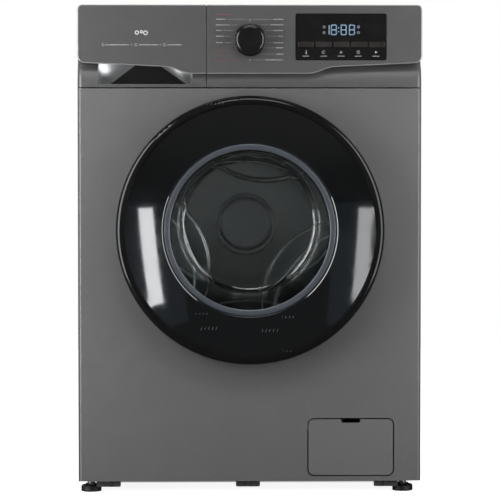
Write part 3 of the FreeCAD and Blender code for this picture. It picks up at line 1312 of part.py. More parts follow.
def service_flap():
    """Rounded flap over the pump filter, hinged at its foot and notched at its top for a finger."""
    low_x, low_z = "flap_x + flap_gap", "flap_z + flap_gap"
    wide, tall = "(flap_w - 2 * flap_gap)", "(flap_h - 2 * flap_gap)"
    plate = soft_box((low_x, "-front + 0.5", low_z), (wide, "flap_wall", tall), "flap_round - flap_gap", "y")
    notch = soft_box(("flap_x + 59", "-front", "flap_z + flap_h - 8.2"), ("33", "4", "20"), "3", "y")
    knuckles = [rod((x, FLAP_AXIS_Y, FLAP_AXIS_Z), "knuckle", "knuckle_length", "x") for x in KNUCKLES]
    bores = [rod((f"{x} - 1", FLAP_AXIS_Y, FLAP_AXIS_Z), "flap_pin + running", "knuckle_length + 2", "x")
             for x in KNUCKLES]
    rim = soft_box((f"{low_x} + 8", "-front + 0.5", f"{low_z} + 10"), (f"{wide} - 16", "4", f"{tall} - 26"),
                   "6", "y")
    rim_space = soft_box((f"{low_x} + 10", "-front + 1", f"{low_z} + 12"),
                         (f"{wide} - 20", "5", f"{tall} - 30"),
                         "4", "y")
    return cut(fuse(plate, *knuckles, cut(rim, rim_space)), notch, *bores)


part("service_flap", service_flap())


def flap_frame():
    """Moulded frame behind the panel that carries the flap's hinge pins and catch."""
    outer = soft_box(("flap_x - 7", "-front + 1", "flap_z - 6"), ("flap_w + 14", "5", "flap_h + 12"), "14",
                     "y")
    inner = soft_box(("flap_x - 2", "-front", "flap_z - 3"), ("flap_w + 4", "8", "flap_h + 5"), "4", "y")
    pins = []
    for x in KNUCKLES:
        pins.append(rod((f"{x} - 6", FLAP_AXIS_Y, FLAP_AXIS_Z), "flap_pin", "knuckle_length + 12", "x"))
        for end in (f"{x} - 6", f"{x} + knuckle_length + 3"):
            pins.append(box((end, f"{FLAP_AXIS_Y} - 0.7", f"{FLAP_AXIS_Z} - 0.5"), ("3", "4.3", "6")))
            pins.append(box((end, f"{FLAP_AXIS_Y} + 3.1", "flap_z - 4"), ("3", "0.5", "14")))
    return fuse(cut(outer, inner), *pins)


part("flap_frame", flap_frame())

# ---- finish ----

doc.recompute()
bad = [o.Name for o in doc.Objects if "Invalid" in o.State or "Error" in o.State]
bad += [o.Label for o in PARTS if o.Shape.isNull() or not o.Shape.isValid() or not o.Shape.Solids]
if bad:
    raise RuntimeError("not built: " + ", ".join(bad))
os.makedirs("parts", exist_ok=True)
for solid in PARTS:
    solid.Shape.exportStep(f"parts/{solid.Label}.step")
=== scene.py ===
"""Looks of a front load washing machine: materials for the CAD pieces, fine soft and printed pieces, studio.

Everything is in metres, in the CAD model's own frame: X to the right, Y to the back, Z up, floor at z = 0.
"""
import math
import random
import bpy
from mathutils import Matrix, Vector


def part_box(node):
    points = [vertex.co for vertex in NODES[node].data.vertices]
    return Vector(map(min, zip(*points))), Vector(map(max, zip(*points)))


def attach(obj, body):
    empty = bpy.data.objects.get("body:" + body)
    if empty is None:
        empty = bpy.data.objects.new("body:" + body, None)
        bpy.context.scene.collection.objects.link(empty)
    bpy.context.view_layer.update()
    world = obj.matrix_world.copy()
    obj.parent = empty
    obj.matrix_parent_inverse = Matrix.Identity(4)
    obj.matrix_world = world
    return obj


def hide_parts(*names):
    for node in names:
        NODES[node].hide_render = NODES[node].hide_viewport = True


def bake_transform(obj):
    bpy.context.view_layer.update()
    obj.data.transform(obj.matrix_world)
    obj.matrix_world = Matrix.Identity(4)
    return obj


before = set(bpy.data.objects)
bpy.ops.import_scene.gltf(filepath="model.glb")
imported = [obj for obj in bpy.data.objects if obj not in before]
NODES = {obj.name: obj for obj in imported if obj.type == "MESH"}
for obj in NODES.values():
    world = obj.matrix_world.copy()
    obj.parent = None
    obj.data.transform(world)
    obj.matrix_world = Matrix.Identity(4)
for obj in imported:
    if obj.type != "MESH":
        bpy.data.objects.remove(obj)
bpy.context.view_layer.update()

MM = 0.001

# ---- places taken from the CAD model ----

glass_low, glass_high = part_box("door_glass")
AXIS_X, AXIS_Z = 0.0, (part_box("door_outer_ring")[0].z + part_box("door_outer_ring")[1].z) / 2
PLATE_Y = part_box("control_fascia")[0].y
DISPLAY_LOW, DISPLAY_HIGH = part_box("display_window")
KNOB_LOW, KNOB_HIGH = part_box("programme_knob")
DRUM_LOW, DRUM_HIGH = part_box("drum_shell")


# ---- materials ----

def rgb(red, green, blue):
    """A colour given as it looks on a screen, from 0 to 255, as scene values."""
    def linear(level):
        level /= 255
        return level / 12.92 if level <= 0.04045 else ((level + 0.055) / 1.055) ** 2.4
    return linear(red), linear(green), linear(blue)


def scaled(colour, by):
    return tuple(min(c * by, 1.0) for c in colour) + (1.0,)


class Finish:
    """A procedural material: a Principled shader fed by textures in the object's own coordinates."""

    def __init__(self, name, colour, roughness, metallic=0.0, **sockets):
        self.material = bpy.data.materials.new(name)
        self.material.use_nodes = True
        self.tree = self.material.node_tree
        self.shader = self.tree.nodes["Principled BSDF"]
        self.coordinates = self.tree.nodes.new("ShaderNodeTexCoord").outputs["Object"]
        self.colour = colour
        self.height = None
        self.shader.inputs["Base Color"].default_value = scaled(colour, 1)
        self.shader.inputs["Roughness"].default_value = roughness
        self.shader.inputs["Metallic"].default_value = metallic
        for socket, level in sockets.items():
            self.shader.inputs[socket.replace("_", " ")].default_value = level

    def node(self, kind, links=(), **fields):
        """A node with fields set, whose inputs are linked to sockets or set to numbers."""
        made = self.tree.nodes.new(kind)
        for field, setting in fields.items():
            setattr(made, field, setting)
        for socket, source in dict(links).items():
            if isinstance(source, bpy.types.NodeSocket):
                self.tree.links.new(source, made.inputs[socket])
            else:
                made.inputs[socket].default_value = source
        return made

    def where(self, stretch):
        if stretch is None:
            return self.coordinates
        return self.node("ShaderNodeMapping", {"Vector": self.coordinates, "Scale": stretch}).outputs[0]

    def noise(self, scale, detail=3.0, stretch=None, contrast=0.25):
        """Noise from 0 to 1. scale is features per metre."""
        raw = self.node("ShaderNodeTexNoise", {"Vector": self.where(stretch), "Scale": scale,
                                               "Detail": detail})
        return self.level(raw.outputs[0], 0.5 - contrast, 0.5 + contrast)

    def cells(self, scale, stretch=None):
        """One grey per crystal or speck."""
        raw = self.node("ShaderNodeTexVoronoi", {"Vector": self.where(stretch), "Scale": scale})
        return self.node("ShaderNodeSeparateColor", {"Color": raw.outputs["Color"]}).outputs[0]

    def level(self, source, low, high, to_low=0.0, to_high=1.0):
        return self.node("ShaderNodeMapRange", {"Value": source, "From Min": low, "From Max": high,
                                                "To Min": to_low, "To Max": to_high}).outputs[0]

    def worked_out(self, operation, *values):
        """A number worked out from sockets or numbers."""
        return self.node("ShaderNodeMath", dict(enumerate(values)), operation=operation).outputs[0]

    def blend(self, first, second, share):
        """first with share of second."""
        return self.worked_out("ADD", self.worked_out("MULTIPLY", second, share),
                               self.worked_out("MULTIPLY", first, 1 - share))

    def tint(self, source, amount, other=None):
        """Colour that runs from darker to lighter, or towards another colour, with source."""
        low = scaled(self.colour, 1 - amount)
        high = scaled(self.colour, 1 + amount) if other is None else scaled(other, 1)
        mix = self.node("ShaderNodeMix", {0: source, 6: low, 7: high}, data_type="RGBA")
        self.tree.links.new(mix.outputs[2], self.shader.inputs["Base Color"])
        return self

    def rough(self, source, low, high):
        self.tree.links.new(self.level(source, 0, 1, low, high), self.shader.inputs["Roughness"])
        return self

    def over(self, mask, colour, roughness, metallic=None):
        """Another colour, roughness and metalness where the mask is 1."""
        changes = [("Base Color", scaled(colour, 1), "RGBA", 6, 7, 2),
                   ("Roughness", roughness, "FLOAT", 2, 3, 0)]
        if metallic is not None:
            changes.append(("Metallic", metallic, "FLOAT", 2, 3, 0))
        for name, other, kind, under, top, out in changes:
            socket = self.shader.inputs[name]
            mix = self.node("ShaderNodeMix", {0: mask, top: other}, data_type=kind)
            if socket.is_linked:
                self.tree.links.new(socket.links[0].from_socket, mix.inputs[under])
            else:
                mix.inputs[under].default_value = socket.default_value
            self.tree.links.new(mix.outputs[out], socket)
        return self

    def along(self, axis):
        """Place along an axis of the object, in metres."""
        return self.node("ShaderNodeSeparateXYZ", {"Vector": self.coordinates}).outputs[axis]

    def bump(self, source, depth, strength=1.0):
        """Relief of a depth in metres, added to what is there."""
        links = {"Height": source, "Distance": depth, "Strength": strength}
        if self.height is not None:
            links["Normal"] = self.height
        self.height = self.node("ShaderNodeBump", links).outputs[0]
        self.tree.links.new(self.height, self.shader.inputs["Normal"])
        return self


def painted(name, colour, roughness=0.42, metallic=0.0, sparkle=0.06, peel=8e-6, **sockets):
    """Sprayed or powder coated sheet: fine flakes, faint clouds and a little orange peel."""
    paint = Finish(name, colour, roughness, metallic, **sockets)
    flakes, clouds = paint.cells(1800), paint.noise(5, 2)
    paint.tint(paint.blend(clouds, flakes, 0.88), sparkle)
    paint.rough(paint.noise(60, 4), roughness - 0.04, roughness + 0.05)
    return paint.bump(paint.noise(420, 2), peel)


def moulded(name, colour, roughness=0.45, grain=1.2e-5, scale=900, mottle=0.08, **sockets):
    """Injection moulded plastic with a fine spark-eroded grain and slight flow marks."""
    plastic = Finish(name, colour, roughness, **sockets)
    grains, flow = plastic.noise(scale, 3), plastic.noise(14, 3, (1, 1, 2.5))
    plastic.tint(plastic.blend(flow, grains, 0.35), mottle)
    plastic.rough(flow, roughness - 0.05, roughness + 0.07)
    return plastic.bump(grains, grain)


def glossy(name, colour, roughness=0.08, mottle=0.1, **sockets):
    """Polished dark plastic: very faint ripple, and dust that dulls it here and there."""
    gloss = Finish(name, colour, roughness, **sockets)
    dust, ripple = gloss.noise(45, 6), gloss.noise(9, 1)
    gloss.tint(dust, mottle)
    gloss.rough(dust, roughness * 0.8, roughness * 1.5)
    return gloss.bump(ripple, 1.5e-5, 0.5)


def brushed(name, colour, roughness=0.3, stretch=(1, 60, 60), mottle=0.12, depth=6e-6, **sockets):
    """Rolled or brushed metal, with scratches along one axis."""
    metal = Finish(name, colour, roughness, 1.0, **sockets)
    scratches = metal.noise(60, 5, stretch)
    clouds = metal.noise(11, 3)
    metal.tint(metal.blend(clouds, scratches, 0.6), mottle)
    metal.rough(scratches, roughness - 0.07, roughness + 0.1)
    return metal.bump(scratches, depth)


def spangled(name, colour, roughness=0.38):
    """Hot-dip zinc: crystals of a centimetre, each with its own tone, under a fine rolled grain."""
    zinc = Finish(name, colour, roughness, 0.9)
    crystals = zinc.cells(110, (1, 1, 1))
    grain = zinc.noise(700, 3)
    zinc.tint(zinc.blend(crystals, grain, 0.3), 0.16)
    zinc.rough(crystals, roughness - 0.08, roughness + 0.1)
    return zinc.bump(grain, 5e-6)


def cast(name, colour, roughness, metallic=0.0, pits=6e-5, scale=240):
    """Rough cast or poured surface: lumps, pits and stains."""
    rough = Finish(name, colour, roughness, metallic)
    lumps, stains = rough.noise(scale, 6), rough.noise(16, 4)
    rough.tint(rough.blend(stains, lumps, 0.5), 0.2)
    rough.rough(stains, roughness - 0.08, roughness + 0.08)
    return rough.bump(lumps, pits).bump(rough.cells(scale * 2.2), pits * 0.4)


def rubber(name, colour, roughness=0.62, bloom=0.15, **sockets):
    """Rubber with a matt bloom and fine moulding grain."""
    soft = Finish(name, colour, roughness, **sockets)
    haze, grain = soft.noise(30, 5), soft.noise(1100, 2)
    soft.tint(soft.blend(haze, grain, 0.3), bloom)
    soft.rough(haze, roughness - 0.08, roughness + 0.08)
    return soft.bump(grain, 1.5e-5)


def clear_glass(name):
    """Pressed glass. Light passes straight through it for shadows, so that the drum behind it is lit."""
    glass = Finish(name, (0.93, 0.97, 0.97), 0.015, Transmission_Weight=1.0, IOR=1.5)
    glass.rough(glass.noise(40, 3), 0.0, 0.03)
    glass.bump(glass.noise(22, 1), 1.2e-5, 0.6)
    tree = glass.tree
    clear = glass.node("ShaderNodeBsdfTransparent", {"Color": (0.86, 0.9, 0.89, 1)})
    shadow = glass.node("ShaderNodeLightPath").outputs["Is Shadow Ray"]
    mix = glass.node("ShaderNodeMixShader", {0: shadow, 1: glass.shader.outputs[0], 2: clear.outputs[0]})
    tree.links.new(mix.outputs[0], tree.nodes["Material Output"].inputs["Surface"])
    return glass


def console_paint():
    """Metallic paint of the console: a painted highlight on the plate's rounded rim and in the ends of the
    drawer's grip, whose back wall is glossy with painted shade. The service flap, low down, is a little
    paler."""
    paint = painted("console_plastic", rgb(92, 92, 92), 0.42, 0.5, 0.10, 4e-6)
    depth = paint.along("Y")

    def both(first, second):
        return paint.worked_out("MULTIPLY", first, second)

    def sloped(across, up, start):
        """Distance past a sloping line across the front, from 0 to 1 over 2 mm."""
        side = paint.node("ShaderNodeVectorMath", {0: paint.coordinates, 1: (across, 0, up)},
                          operation="DOT_PRODUCT").outputs["Value"]
        return paint.level(side, start - 1 * MM, start + 1 * MM)

    # Painted highlight: the plate's lower rounded rim is made paler and glossier.
    paint.over(both(paint.level(depth, PLATE_Y + 0.05 * MM, PLATE_Y + 0.5 * MM),
                    paint.level(depth, PLATE_Y + 3.2 * MM, PLATE_Y + 2.2 * MM)), rgb(196, 196, 196), 0.22)
    # Painted highlight: the ends of the drawer's grip are made paler and more metallic.
    inside = both(paint.level(depth, PLATE_Y + 12 * MM, PLATE_Y + 15 * MM),
                  both(sloped(1, 0, -262 * MM), sloped(-1, 0, 99 * MM)))
    paint.over(inside, rgb(178, 179, 180), 0.3, 0.8)
    # Painted shade: the back wall of the grip, between its sloping ends, is made dark.
    lean_left, lean_right = 58 / 44, 62 / 44
    back = both(sloped(1, -lean_left, -242 * MM - 708.5 * MM * lean_left),
                sloped(-1, -lean_right, 109 * MM - 708.5 * MM * lean_right))
    paint.over(both(inside, back), rgb(52, 52, 53), 0.16, 0.5)
    return paint.over(paint.level(paint.along("Z"), 151 * MM, 150 * MM), rgb(114, 114, 114), 0.44, 0.45)


def foot_finish():
    """Black moulded pad with the zinc plated stem above it."""
    foot = moulded("foot_plastic", rgb(22, 22, 23), 0.45)
    pad_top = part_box("front_left_foot")[0].z + 12.6 * MM
    return foot.over(foot.level(foot.along("Z"), pad_top, pad_top + 0.2 * MM), rgb(150, 151, 152), 0.3, 1.0)


PETALS = (81, 201, 321)
PETAL_STEPS = ((236 * MM, 152 * MM), (300 * MM, 182 * MM))


def drum_back_steel():
    """Polished steel of the drum's back wall, duller on the hub, with painted highlights: paler, rougher
    lines along the bends of the hub and the petals.
    """
    steel = Finish("drum_back_steel", rgb(160, 161, 160), 0.13, 1.0)
    clouds = steel.noise(14, 3)
    steel.tint(clouds, 0.05)
    steel.rough(clouds, 0.12, 0.16)
    steel.bump(clouds, 3e-5)

    def reach(x, z):
        """Distance from a line along the drum's axis."""
        across = steel.node("ShaderNodeVectorMath", {0: steel.coordinates, 1: (1, 0, 1)},
                            operation="MULTIPLY")
        return steel.node("ShaderNodeVectorMath", {0: across.outputs[0], 1: (x, 0, z)},
                          operation="DISTANCE").outputs["Value"]

    def painted_bend_highlight(distance, bend, outer, inner):
        """A line along a bend, at a distance from the point that the bend goes round."""
        off = steel.worked_out("ABSOLUTE", steel.worked_out("SUBTRACT", distance, bend))
        return steel.level(off, outer, inner)

    painted_bend_highlights = [painted_bend_highlight(reach(AXIS_X, AXIS_Z), 53 * MM, 4 * MM, 0.5 * MM)]
    for petal in PETALS:
        turn = math.radians(petal)
        for middle, bend in PETAL_STEPS:
            x, z = AXIS_X + middle * math.cos(turn), AXIS_Z + middle * math.sin(turn)
            painted_bend_highlights.append(painted_bend_highlight(reach(x, z), bend, 2.6 * MM, 0.4 * MM))
    lines = painted_bend_highlights[0]
    for line in painted_bend_highlights[1:]:
        lines = steel.worked_out("MAXIMUM", lines, line)
    # Painted highlight: paler, rougher steel along the bends of the hub and the petals.
    steel.over(lines, rgb(196, 197, 196), 0.5)
    return steel.over(steel.level(reach(AXIS_X, AXIS_Z), 48 * MM, 42 * MM), rgb(190, 190, 192), 0.26)


FINISHES = {
    "side_steel": painted("side_steel", rgb(98, 98, 98), 0.46, 0.35, 0.07),
    "body_paint": painted("body_paint", rgb(107, 107, 107), 0.46, 0.45, 0.12),
    "console_plastic": console_paint(),
    "top_laminate": moulded("top_laminate", rgb(98, 99, 101), 0.5, 5e-5, 520, 0.1),
    "rail_steel": painted("rail_steel", rgb(70, 71, 73), 0.5, 0.3),
    "zinc_steel": spangled("zinc_steel", rgb(176, 179, 182)),
    "screw_steel": brushed("screw_steel", rgb(128, 128, 127), 0.3, (40, 40, 1)),
    "display_black": glossy("display_black", rgb(20, 20, 21), 0.2, 0.05, Specular_IOR_Level=0.3),
    "board_green": painted("board_green", rgb(28, 92, 48), 0.35),
    "inner_plastic": moulded("inner_plastic", rgb(150, 151, 152)),
    "white_plastic": moulded("white_plastic", rgb(224, 224, 220)),
    "fitting_plastic": moulded("fitting_plastic", rgb(38, 38, 39), 0.42),
    "gasket_rubber": rubber("gasket_rubber", rgb(112, 115, 118), 0.5),
    "spring_steel": brushed("spring_steel", rgb(104, 104, 106), 0.35, (1, 1, 30)),
    "hose_rubber": rubber("hose_rubber", rgb(44, 44, 45), 0.5),
    "tub_plastic": moulded("tub_plastic", rgb(196, 196, 190), 0.5, 3e-5, 500, 0.1),
    "concrete": cast("concrete", rgb(150, 148, 143), 0.9),
    "bearing_steel": brushed("bearing_steel", rgb(190, 190, 192), 0.2, (60, 1, 60)),
    "motor_grey": painted("motor_grey", rgb(82, 83, 86), 0.4, 0.5),
    "heater_steel": brushed("heater_steel", rgb(170, 165, 158), 0.32),
    "belt_rubber": rubber("belt_rubber", rgb(30, 30, 31), 0.6),
    "stainless": brushed("stainless", rgb(132, 133, 131), 0.27, (1, 40, 40), 0.05, 1.5e-6),
    "lifter_plastic": moulded("lifter_plastic", rgb(112, 114, 114), 0.3, 6e-6, 900, 0.08, Coat_Weight=0.4),
    "cast_aluminium": cast("cast_aluminium", rgb(168, 169, 170), 0.45, 0.9, 2.5e-5, 420),
    "door_black": glossy("door_black", rgb(16, 16, 17), 0.11, IOR=1.38),
    "smoked_cover": glossy("smoked_cover", rgb(10, 11, 12), 0.045, IOR=1.9),
    "bowl_glass": clear_glass("bowl_glass"),
    "back_ring_plastic": moulded("back_ring_plastic", rgb(92, 94, 97), 0.42),
    "tray_plastic": moulded("tray_plastic", rgb(206, 207, 204)),
    "knob_black": glossy("knob_black", rgb(20, 20, 21), 0.16, IOR=1.55),
    "filter_plastic": moulded("filter_plastic", rgb(60, 60, 62), 0.4),
    "foot_plastic": foot_finish(),
    "button_silver": glossy("button_silver", rgb(34, 31, 29), 0.3),
}
for cad_object in NODES.values():
    for place in cad_object.material_slots:
        place.material = FINISHES[place.material.name.split(".")[0]].material

PRINT_GREY = moulded("print_grey", rgb(176, 177, 178), 0.5, 2e-6).material
PRINT_RED = moulded("print_red", rgb(138, 68, 70), 0.5, 2e-6).material
MARK_METAL = moulded("mark_metal", rgb(190, 191, 193), 0.35, 2e-6).material
SMOKED_MARK = glossy("smoked_mark", rgb(52, 53, 55), 0.25).material


def lit(name, colour, strength):
    """Lit print behind the display window, faintly mottled."""
    glow = Finish(name, colour, 0.5, Emission_Strength=strength)
    glow.shader.inputs["Emission Color"].default_value = scaled(colour, 1)
    return glow.tint(glow.noise(900, 2), 0.12).material


DIGIT_GLOW = lit("digit_glow", rgb(170, 204, 236), 0.36)
ICON_GLOW = lit("icon_glow", rgb(150, 152, 156), 0.22)


# ---- mesh makers ----

def smooth(mesh, angle=35):
    mesh.polygons.foreach_set("use_smooth", [True] * len(mesh.polygons))
    mesh.set_sharp_from_angle(angle=math.radians(angle))


def piece(name, points, faces, material, angle=35):
    """An object from points and faces."""
    mesh = bpy.data.meshes.new(name)
    mesh.from_pydata([tuple(p) for p in points], [], faces)
    mesh.materials.append(material)
    mesh.validate()
    smooth(mesh, angle)
    obj = bpy.data.objects.new(name, mesh)
    bpy.context.scene.collection.objects.link(obj)
    return obj


def riding(obj, body, replaced=()):
    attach(obj, body)
    return standing(obj, replaced)


def standing(obj, replaced=()):
    """Hides the CAD nodes that a piece stands for."""
    if replaced:
        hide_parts(*replaced)
    return obj


def lathe(name, outline, material, steps=192, angle=35):
    """A closed outline of (y, radius), in metres, turned about the drum's axis."""
    points, faces = [], []
    for i in range(steps):
        turn = 2 * math.pi * i / steps
        points += [(AXIS_X + r * math.cos(turn), y, AXIS_Z + r * math.sin(turn)) for y, r in outline]
    count = len(outline)
    for i in range(steps):
        for j in range(count):
            k, following = (j + 1) % count, (i + 1) % steps
            faces.append((i * count + j, i * count + k, following * count + k, following * count + j))
    return piece(name, points, faces, material, angle)


def rounded_line(corners, bend, steps=5):
    """An open or closed run of (u, v) corners with each corner that has a bend rounded off."""
    line = []
    for i, corner in enumerate(corners):
        here = Vector(corner)
        before, after = Vector(corners[i - 1]), Vector(corners[(i + 1) % len(corners)])
        room = min(bend, (before - here).length * 0.48, (after - here).length * 0.48)
        start, end = here + (before - here).normalized() * room, here + (after - here).normalized() * room
        for s in range(steps + 1):
            t = s / steps
            line.append(tuple(start * (1 - t) ** 2 + here * 2 * t * (1 - t) + end * t ** 2))
    return line


def spline_points(route, per_span=14):
    """Points read from the route's own smooth NURBS line."""
    curve = bpy.data.curves.new("route", "CURVE")
    curve.dimensions = "3D"
    curve.resolution_u = per_span
    line = curve.splines.new("NURBS")
    line.points.add(len(route) - 1)
    for held, point in zip(line.points, route):
        held.co = (*point, 1)
    line.order_u = 3
    line.use_endpoint_u = True
    holder = bpy.data.objects.new("route", curve)
    bpy.context.scene.collection.objects.link(holder)
    mesh = bpy.data.meshes.new_from_object(holder)
    points = [v.co.copy() for v in mesh.vertices]
    bpy.data.objects.remove(holder)
    bpy.data.meshes.remove(mesh)
    return points


def even_points(points, step):
    """The same line with points a fixed step apart."""
    line, left = [points[0].copy()], step
    for a, b in zip(points, points[1:]):
        run = (b - a).length
        done = 0.0
        while run - done >= left:
            done += left
            line.append(a.lerp(b, done / run))
            left = step
        left -= run - done
    return line + [points[-1].copy()]


def tube(name, points, radius_at, material, sides=24, angle=50):
    """A tube whose radius may change along the line. radius_at is given the length so far."""
    verts, faces = [], []
    across = Vector((0, 0, 1))
    run = 0.0
    for i, point in enumerate(points):
        ahead = (points[min(i + 1, len(points) - 1)] - points[max(i - 1, 0)]).normalized()
        across = (across - ahead * across.dot(ahead))
        across = across.normalized() if across.length > 1e-3 else ahead.orthogonal().normalized()
        side = ahead.cross(across)
        if i:
            run += (point - points[i - 1]).length
        radius = radius_at(run)
        for s in range(sides):
            turn = 2 * math.pi * s / sides
            verts.append(point + (across * math.cos(turn) + side * math.sin(turn)) * radius)
    for i in range(len(points) - 1):
        for s in range(sides):
            a, b = i * sides + s, i * sides + (s + 1) % sides
            faces.append((a, b, b + sides, a + sides))
    faces.append(tuple(range(sides - 1, -1, -1)))
    faces.append(tuple(range(len(verts) - sides, len(verts))))
    return piece(name, verts, faces, material, angle)


class Prints:
    """Thin raised marks on a plane that faces the front, gathered into one piece."""

    def __init__(self, y, thick=0.12 * MM):
        self.y, self.thick = y, thick
        self.points, self.faces = [], []

    def outline(self, loop):
        """A filled shape, from its (x, z) corners in order."""
        base, count = len(self.points), len(loop)
        self.points += [(x, self.y, z) for x, z in loop]
        self.points += [(x, self.y - self.thick, z) for x, z in loop]
        self.faces.append(tuple(range(base + count, base + 2 * count)))
        for i in range(count):
            k = (i + 1) % count
            self.faces.append((base + i, base + k, base + count + k, base + count + i))
        return self

    def bar(self, x, z, wide, high, bend=None):
        """A rounded bar about its middle."""
        w, h = wide / 2, high / 2
        corners = [(x - w, z - h), (x + w, z - h), (x + w, z + h), (x - w, z + h)]
        return self.outline(rounded_line(corners, min(w, h) * 0.9 if bend is None else bend, 3))

    def ring(self, x, z, radius, width, steps=28, start=0.0, sweep=2 * math.pi):
        """A ring or a part of one."""
        base = len(self.points)
        closed = sweep > 6.28
        count = steps if closed else steps + 1
        for i in range(count):
            turn = start + sweep * i / steps
            for r, y in ((radius - width, self.y), (radius, self.y), (radius, self.y - self.thick),
                         (radius - width, self.y - self.thick)):
                self.points.append((x + r * math.cos(turn), y, z + r * math.sin(turn)))
        for i in range(steps if closed else count - 1):
            a, b = base + 4 * i, base + 4 * ((i + 1) % count)
            for k in range(4):
                n = (k + 1) % 4
                self.faces.append((a + k, a + n, b + n, b + k))
        return self

    def line(self, points, width):
        """A line of straight runs."""
        for (x1, z1), (x2, z2) in zip(points, points[1:]):
            along = Vector((x2 - x1, z2 - z1))
            side = Vector((-along.y, along.x)).normalized() * width / 2
            self.outline([(x1 - side.x, z1 - side.y), (x2 - side.x, z2 - side.y),
                          (x2 + side.x, z2 + side.y), (x1 + side.x, z1 + side.y)])
        return self

    def greeking(self, x, z, long, high, chance):
        """A row of short bars that stands for a word."""
        at = x
        while at < x + long - 0.5 * MM:
            wide = min(chance.uniform(0.9, 1.7) * MM, x + long - at)
            self.bar(at + wide / 2, z + chance.uniform(-0.05, 0.05) * high, wide,
                     high * chance.uniform(0.75, 1))
            at += wide + 0.45 * MM
        return self

    def made(self, name, material, body, slot):
        obj = piece(name, self.points, self.faces, material, 20)
        return riding(obj, body)


# ---- drum ----

def perforated_drum():
    """Drum side wall with rows of drain holes, front shoulder, and a back wall with a raised hub."""
    radius, sheet = (DRUM_HIGH.x - DRUM_LOW.x) / 2 - 0.05 * MM, 1.1 * MM
    front, back = DRUM_LOW.y + 14 * MM, DRUM_HIGH.y
    columns, rows, sides = 108, 20, 8
    hole = 1.9 * MM
    pitch_turn, pitch_y = 2 * math.pi / columns, (back - front) / rows
    points, faces, found = [], [], {}

    def vertex(turn, y):
        key = (round(turn / pitch_turn * 40) % (columns * 40), round(y * 1e6))
        if key not in found:
            found[key] = len(points)
            points.append((AXIS_X + radius * math.cos(turn), y, AXIS_Z + radius * math.sin(turn)))
        return found[key]

    for row in range(rows):
        for column in range(columns):
            middle_turn = (column + 0.5) * pitch_turn
            middle_y = front + (row + 0.5) * pitch_y
            edge = [vertex(middle_turn + pitch_turn / 2 * u, middle_y + pitch_y / 2 * v)
                    for u, v in ((1, 0), (1, 1), (0, 1), (-1, 1), (-1, 0), (-1, -1), (0, -1), (1, -1))]
            if (row + column) % 2 or row in (0, rows - 1):
                faces.append(tuple(edge))
                continue
            base = len(points)
            for s in range(sides):
                turn = 2 * math.pi * s / sides
                at = middle_turn + hole / radius * math.cos(turn)
                points.append((AXIS_X + radius * math.cos(at), middle_y + hole * math.sin(turn),
                               AXIS_Z + radius * math.sin(at)))
            for s in range(sides):
                k = (s + 1) % sides
                faces.append((edge[s], edge[k], base + k, base + s))
    wall = piece("drum_wall_perforated", points, faces, FINISHES["stainless"].material, 60)
    sheet_made = wall.modifiers.new("sheet", "SOLIDIFY")
    sheet_made.thickness = sheet
    sheet_made.offset = 1.0
    riding(wall, "drum", ["drum_shell"])

    def ends(outline, name):
        shell = lathe(name, outline, FINISHES["stainless"].material, 160, 40)
        riding(shell, "drum", ["drum_shell"])

    y = DRUM_LOW.y
    mouth = 157 * MM
    shoulder = [(y + 14 * MM, radius)]
    bend = 14 * MM
    for i in range(1, 9):
        turn = math.pi / 2 * i / 8
        shoulder.append((y + 14 * MM - bend * math.sin(turn), radius - bend + bend * math.cos(turn)))
    shoulder += [(y, mouth + 4 * MM), (y + 1.2 * MM, mouth + 1 * MM), (y + 3.6 * MM, mouth + 0.2 * MM),
                 (y + 6.5 * MM, mouth + 1.6 * MM), (y + 6.5 * MM, mouth + 3 * MM),
                 (y + 3.9 * MM, mouth + 1.8 * MM),
                 (y + 1.6 * MM, mouth + 5 * MM)]
    shoulder += [(y + 1.2 * MM, radius - bend)]
    for i in range(7, -1, -1):
        turn = math.pi / 2 * i / 8
        shoulder.append((y + 14 * MM - (bend - sheet) * math.sin(turn),
                         radius - bend + (bend - sheet) * math.cos(turn)))
    ends(shoulder, "drum_front_shoulder")

    back_pressing(radius - 0.5 * MM, back, sheet)


def ramp(value, low, high):
    share = min(max((value - low) / (high - low), 0.0), 1.0)
    return share * share * (3 - 2 * share)


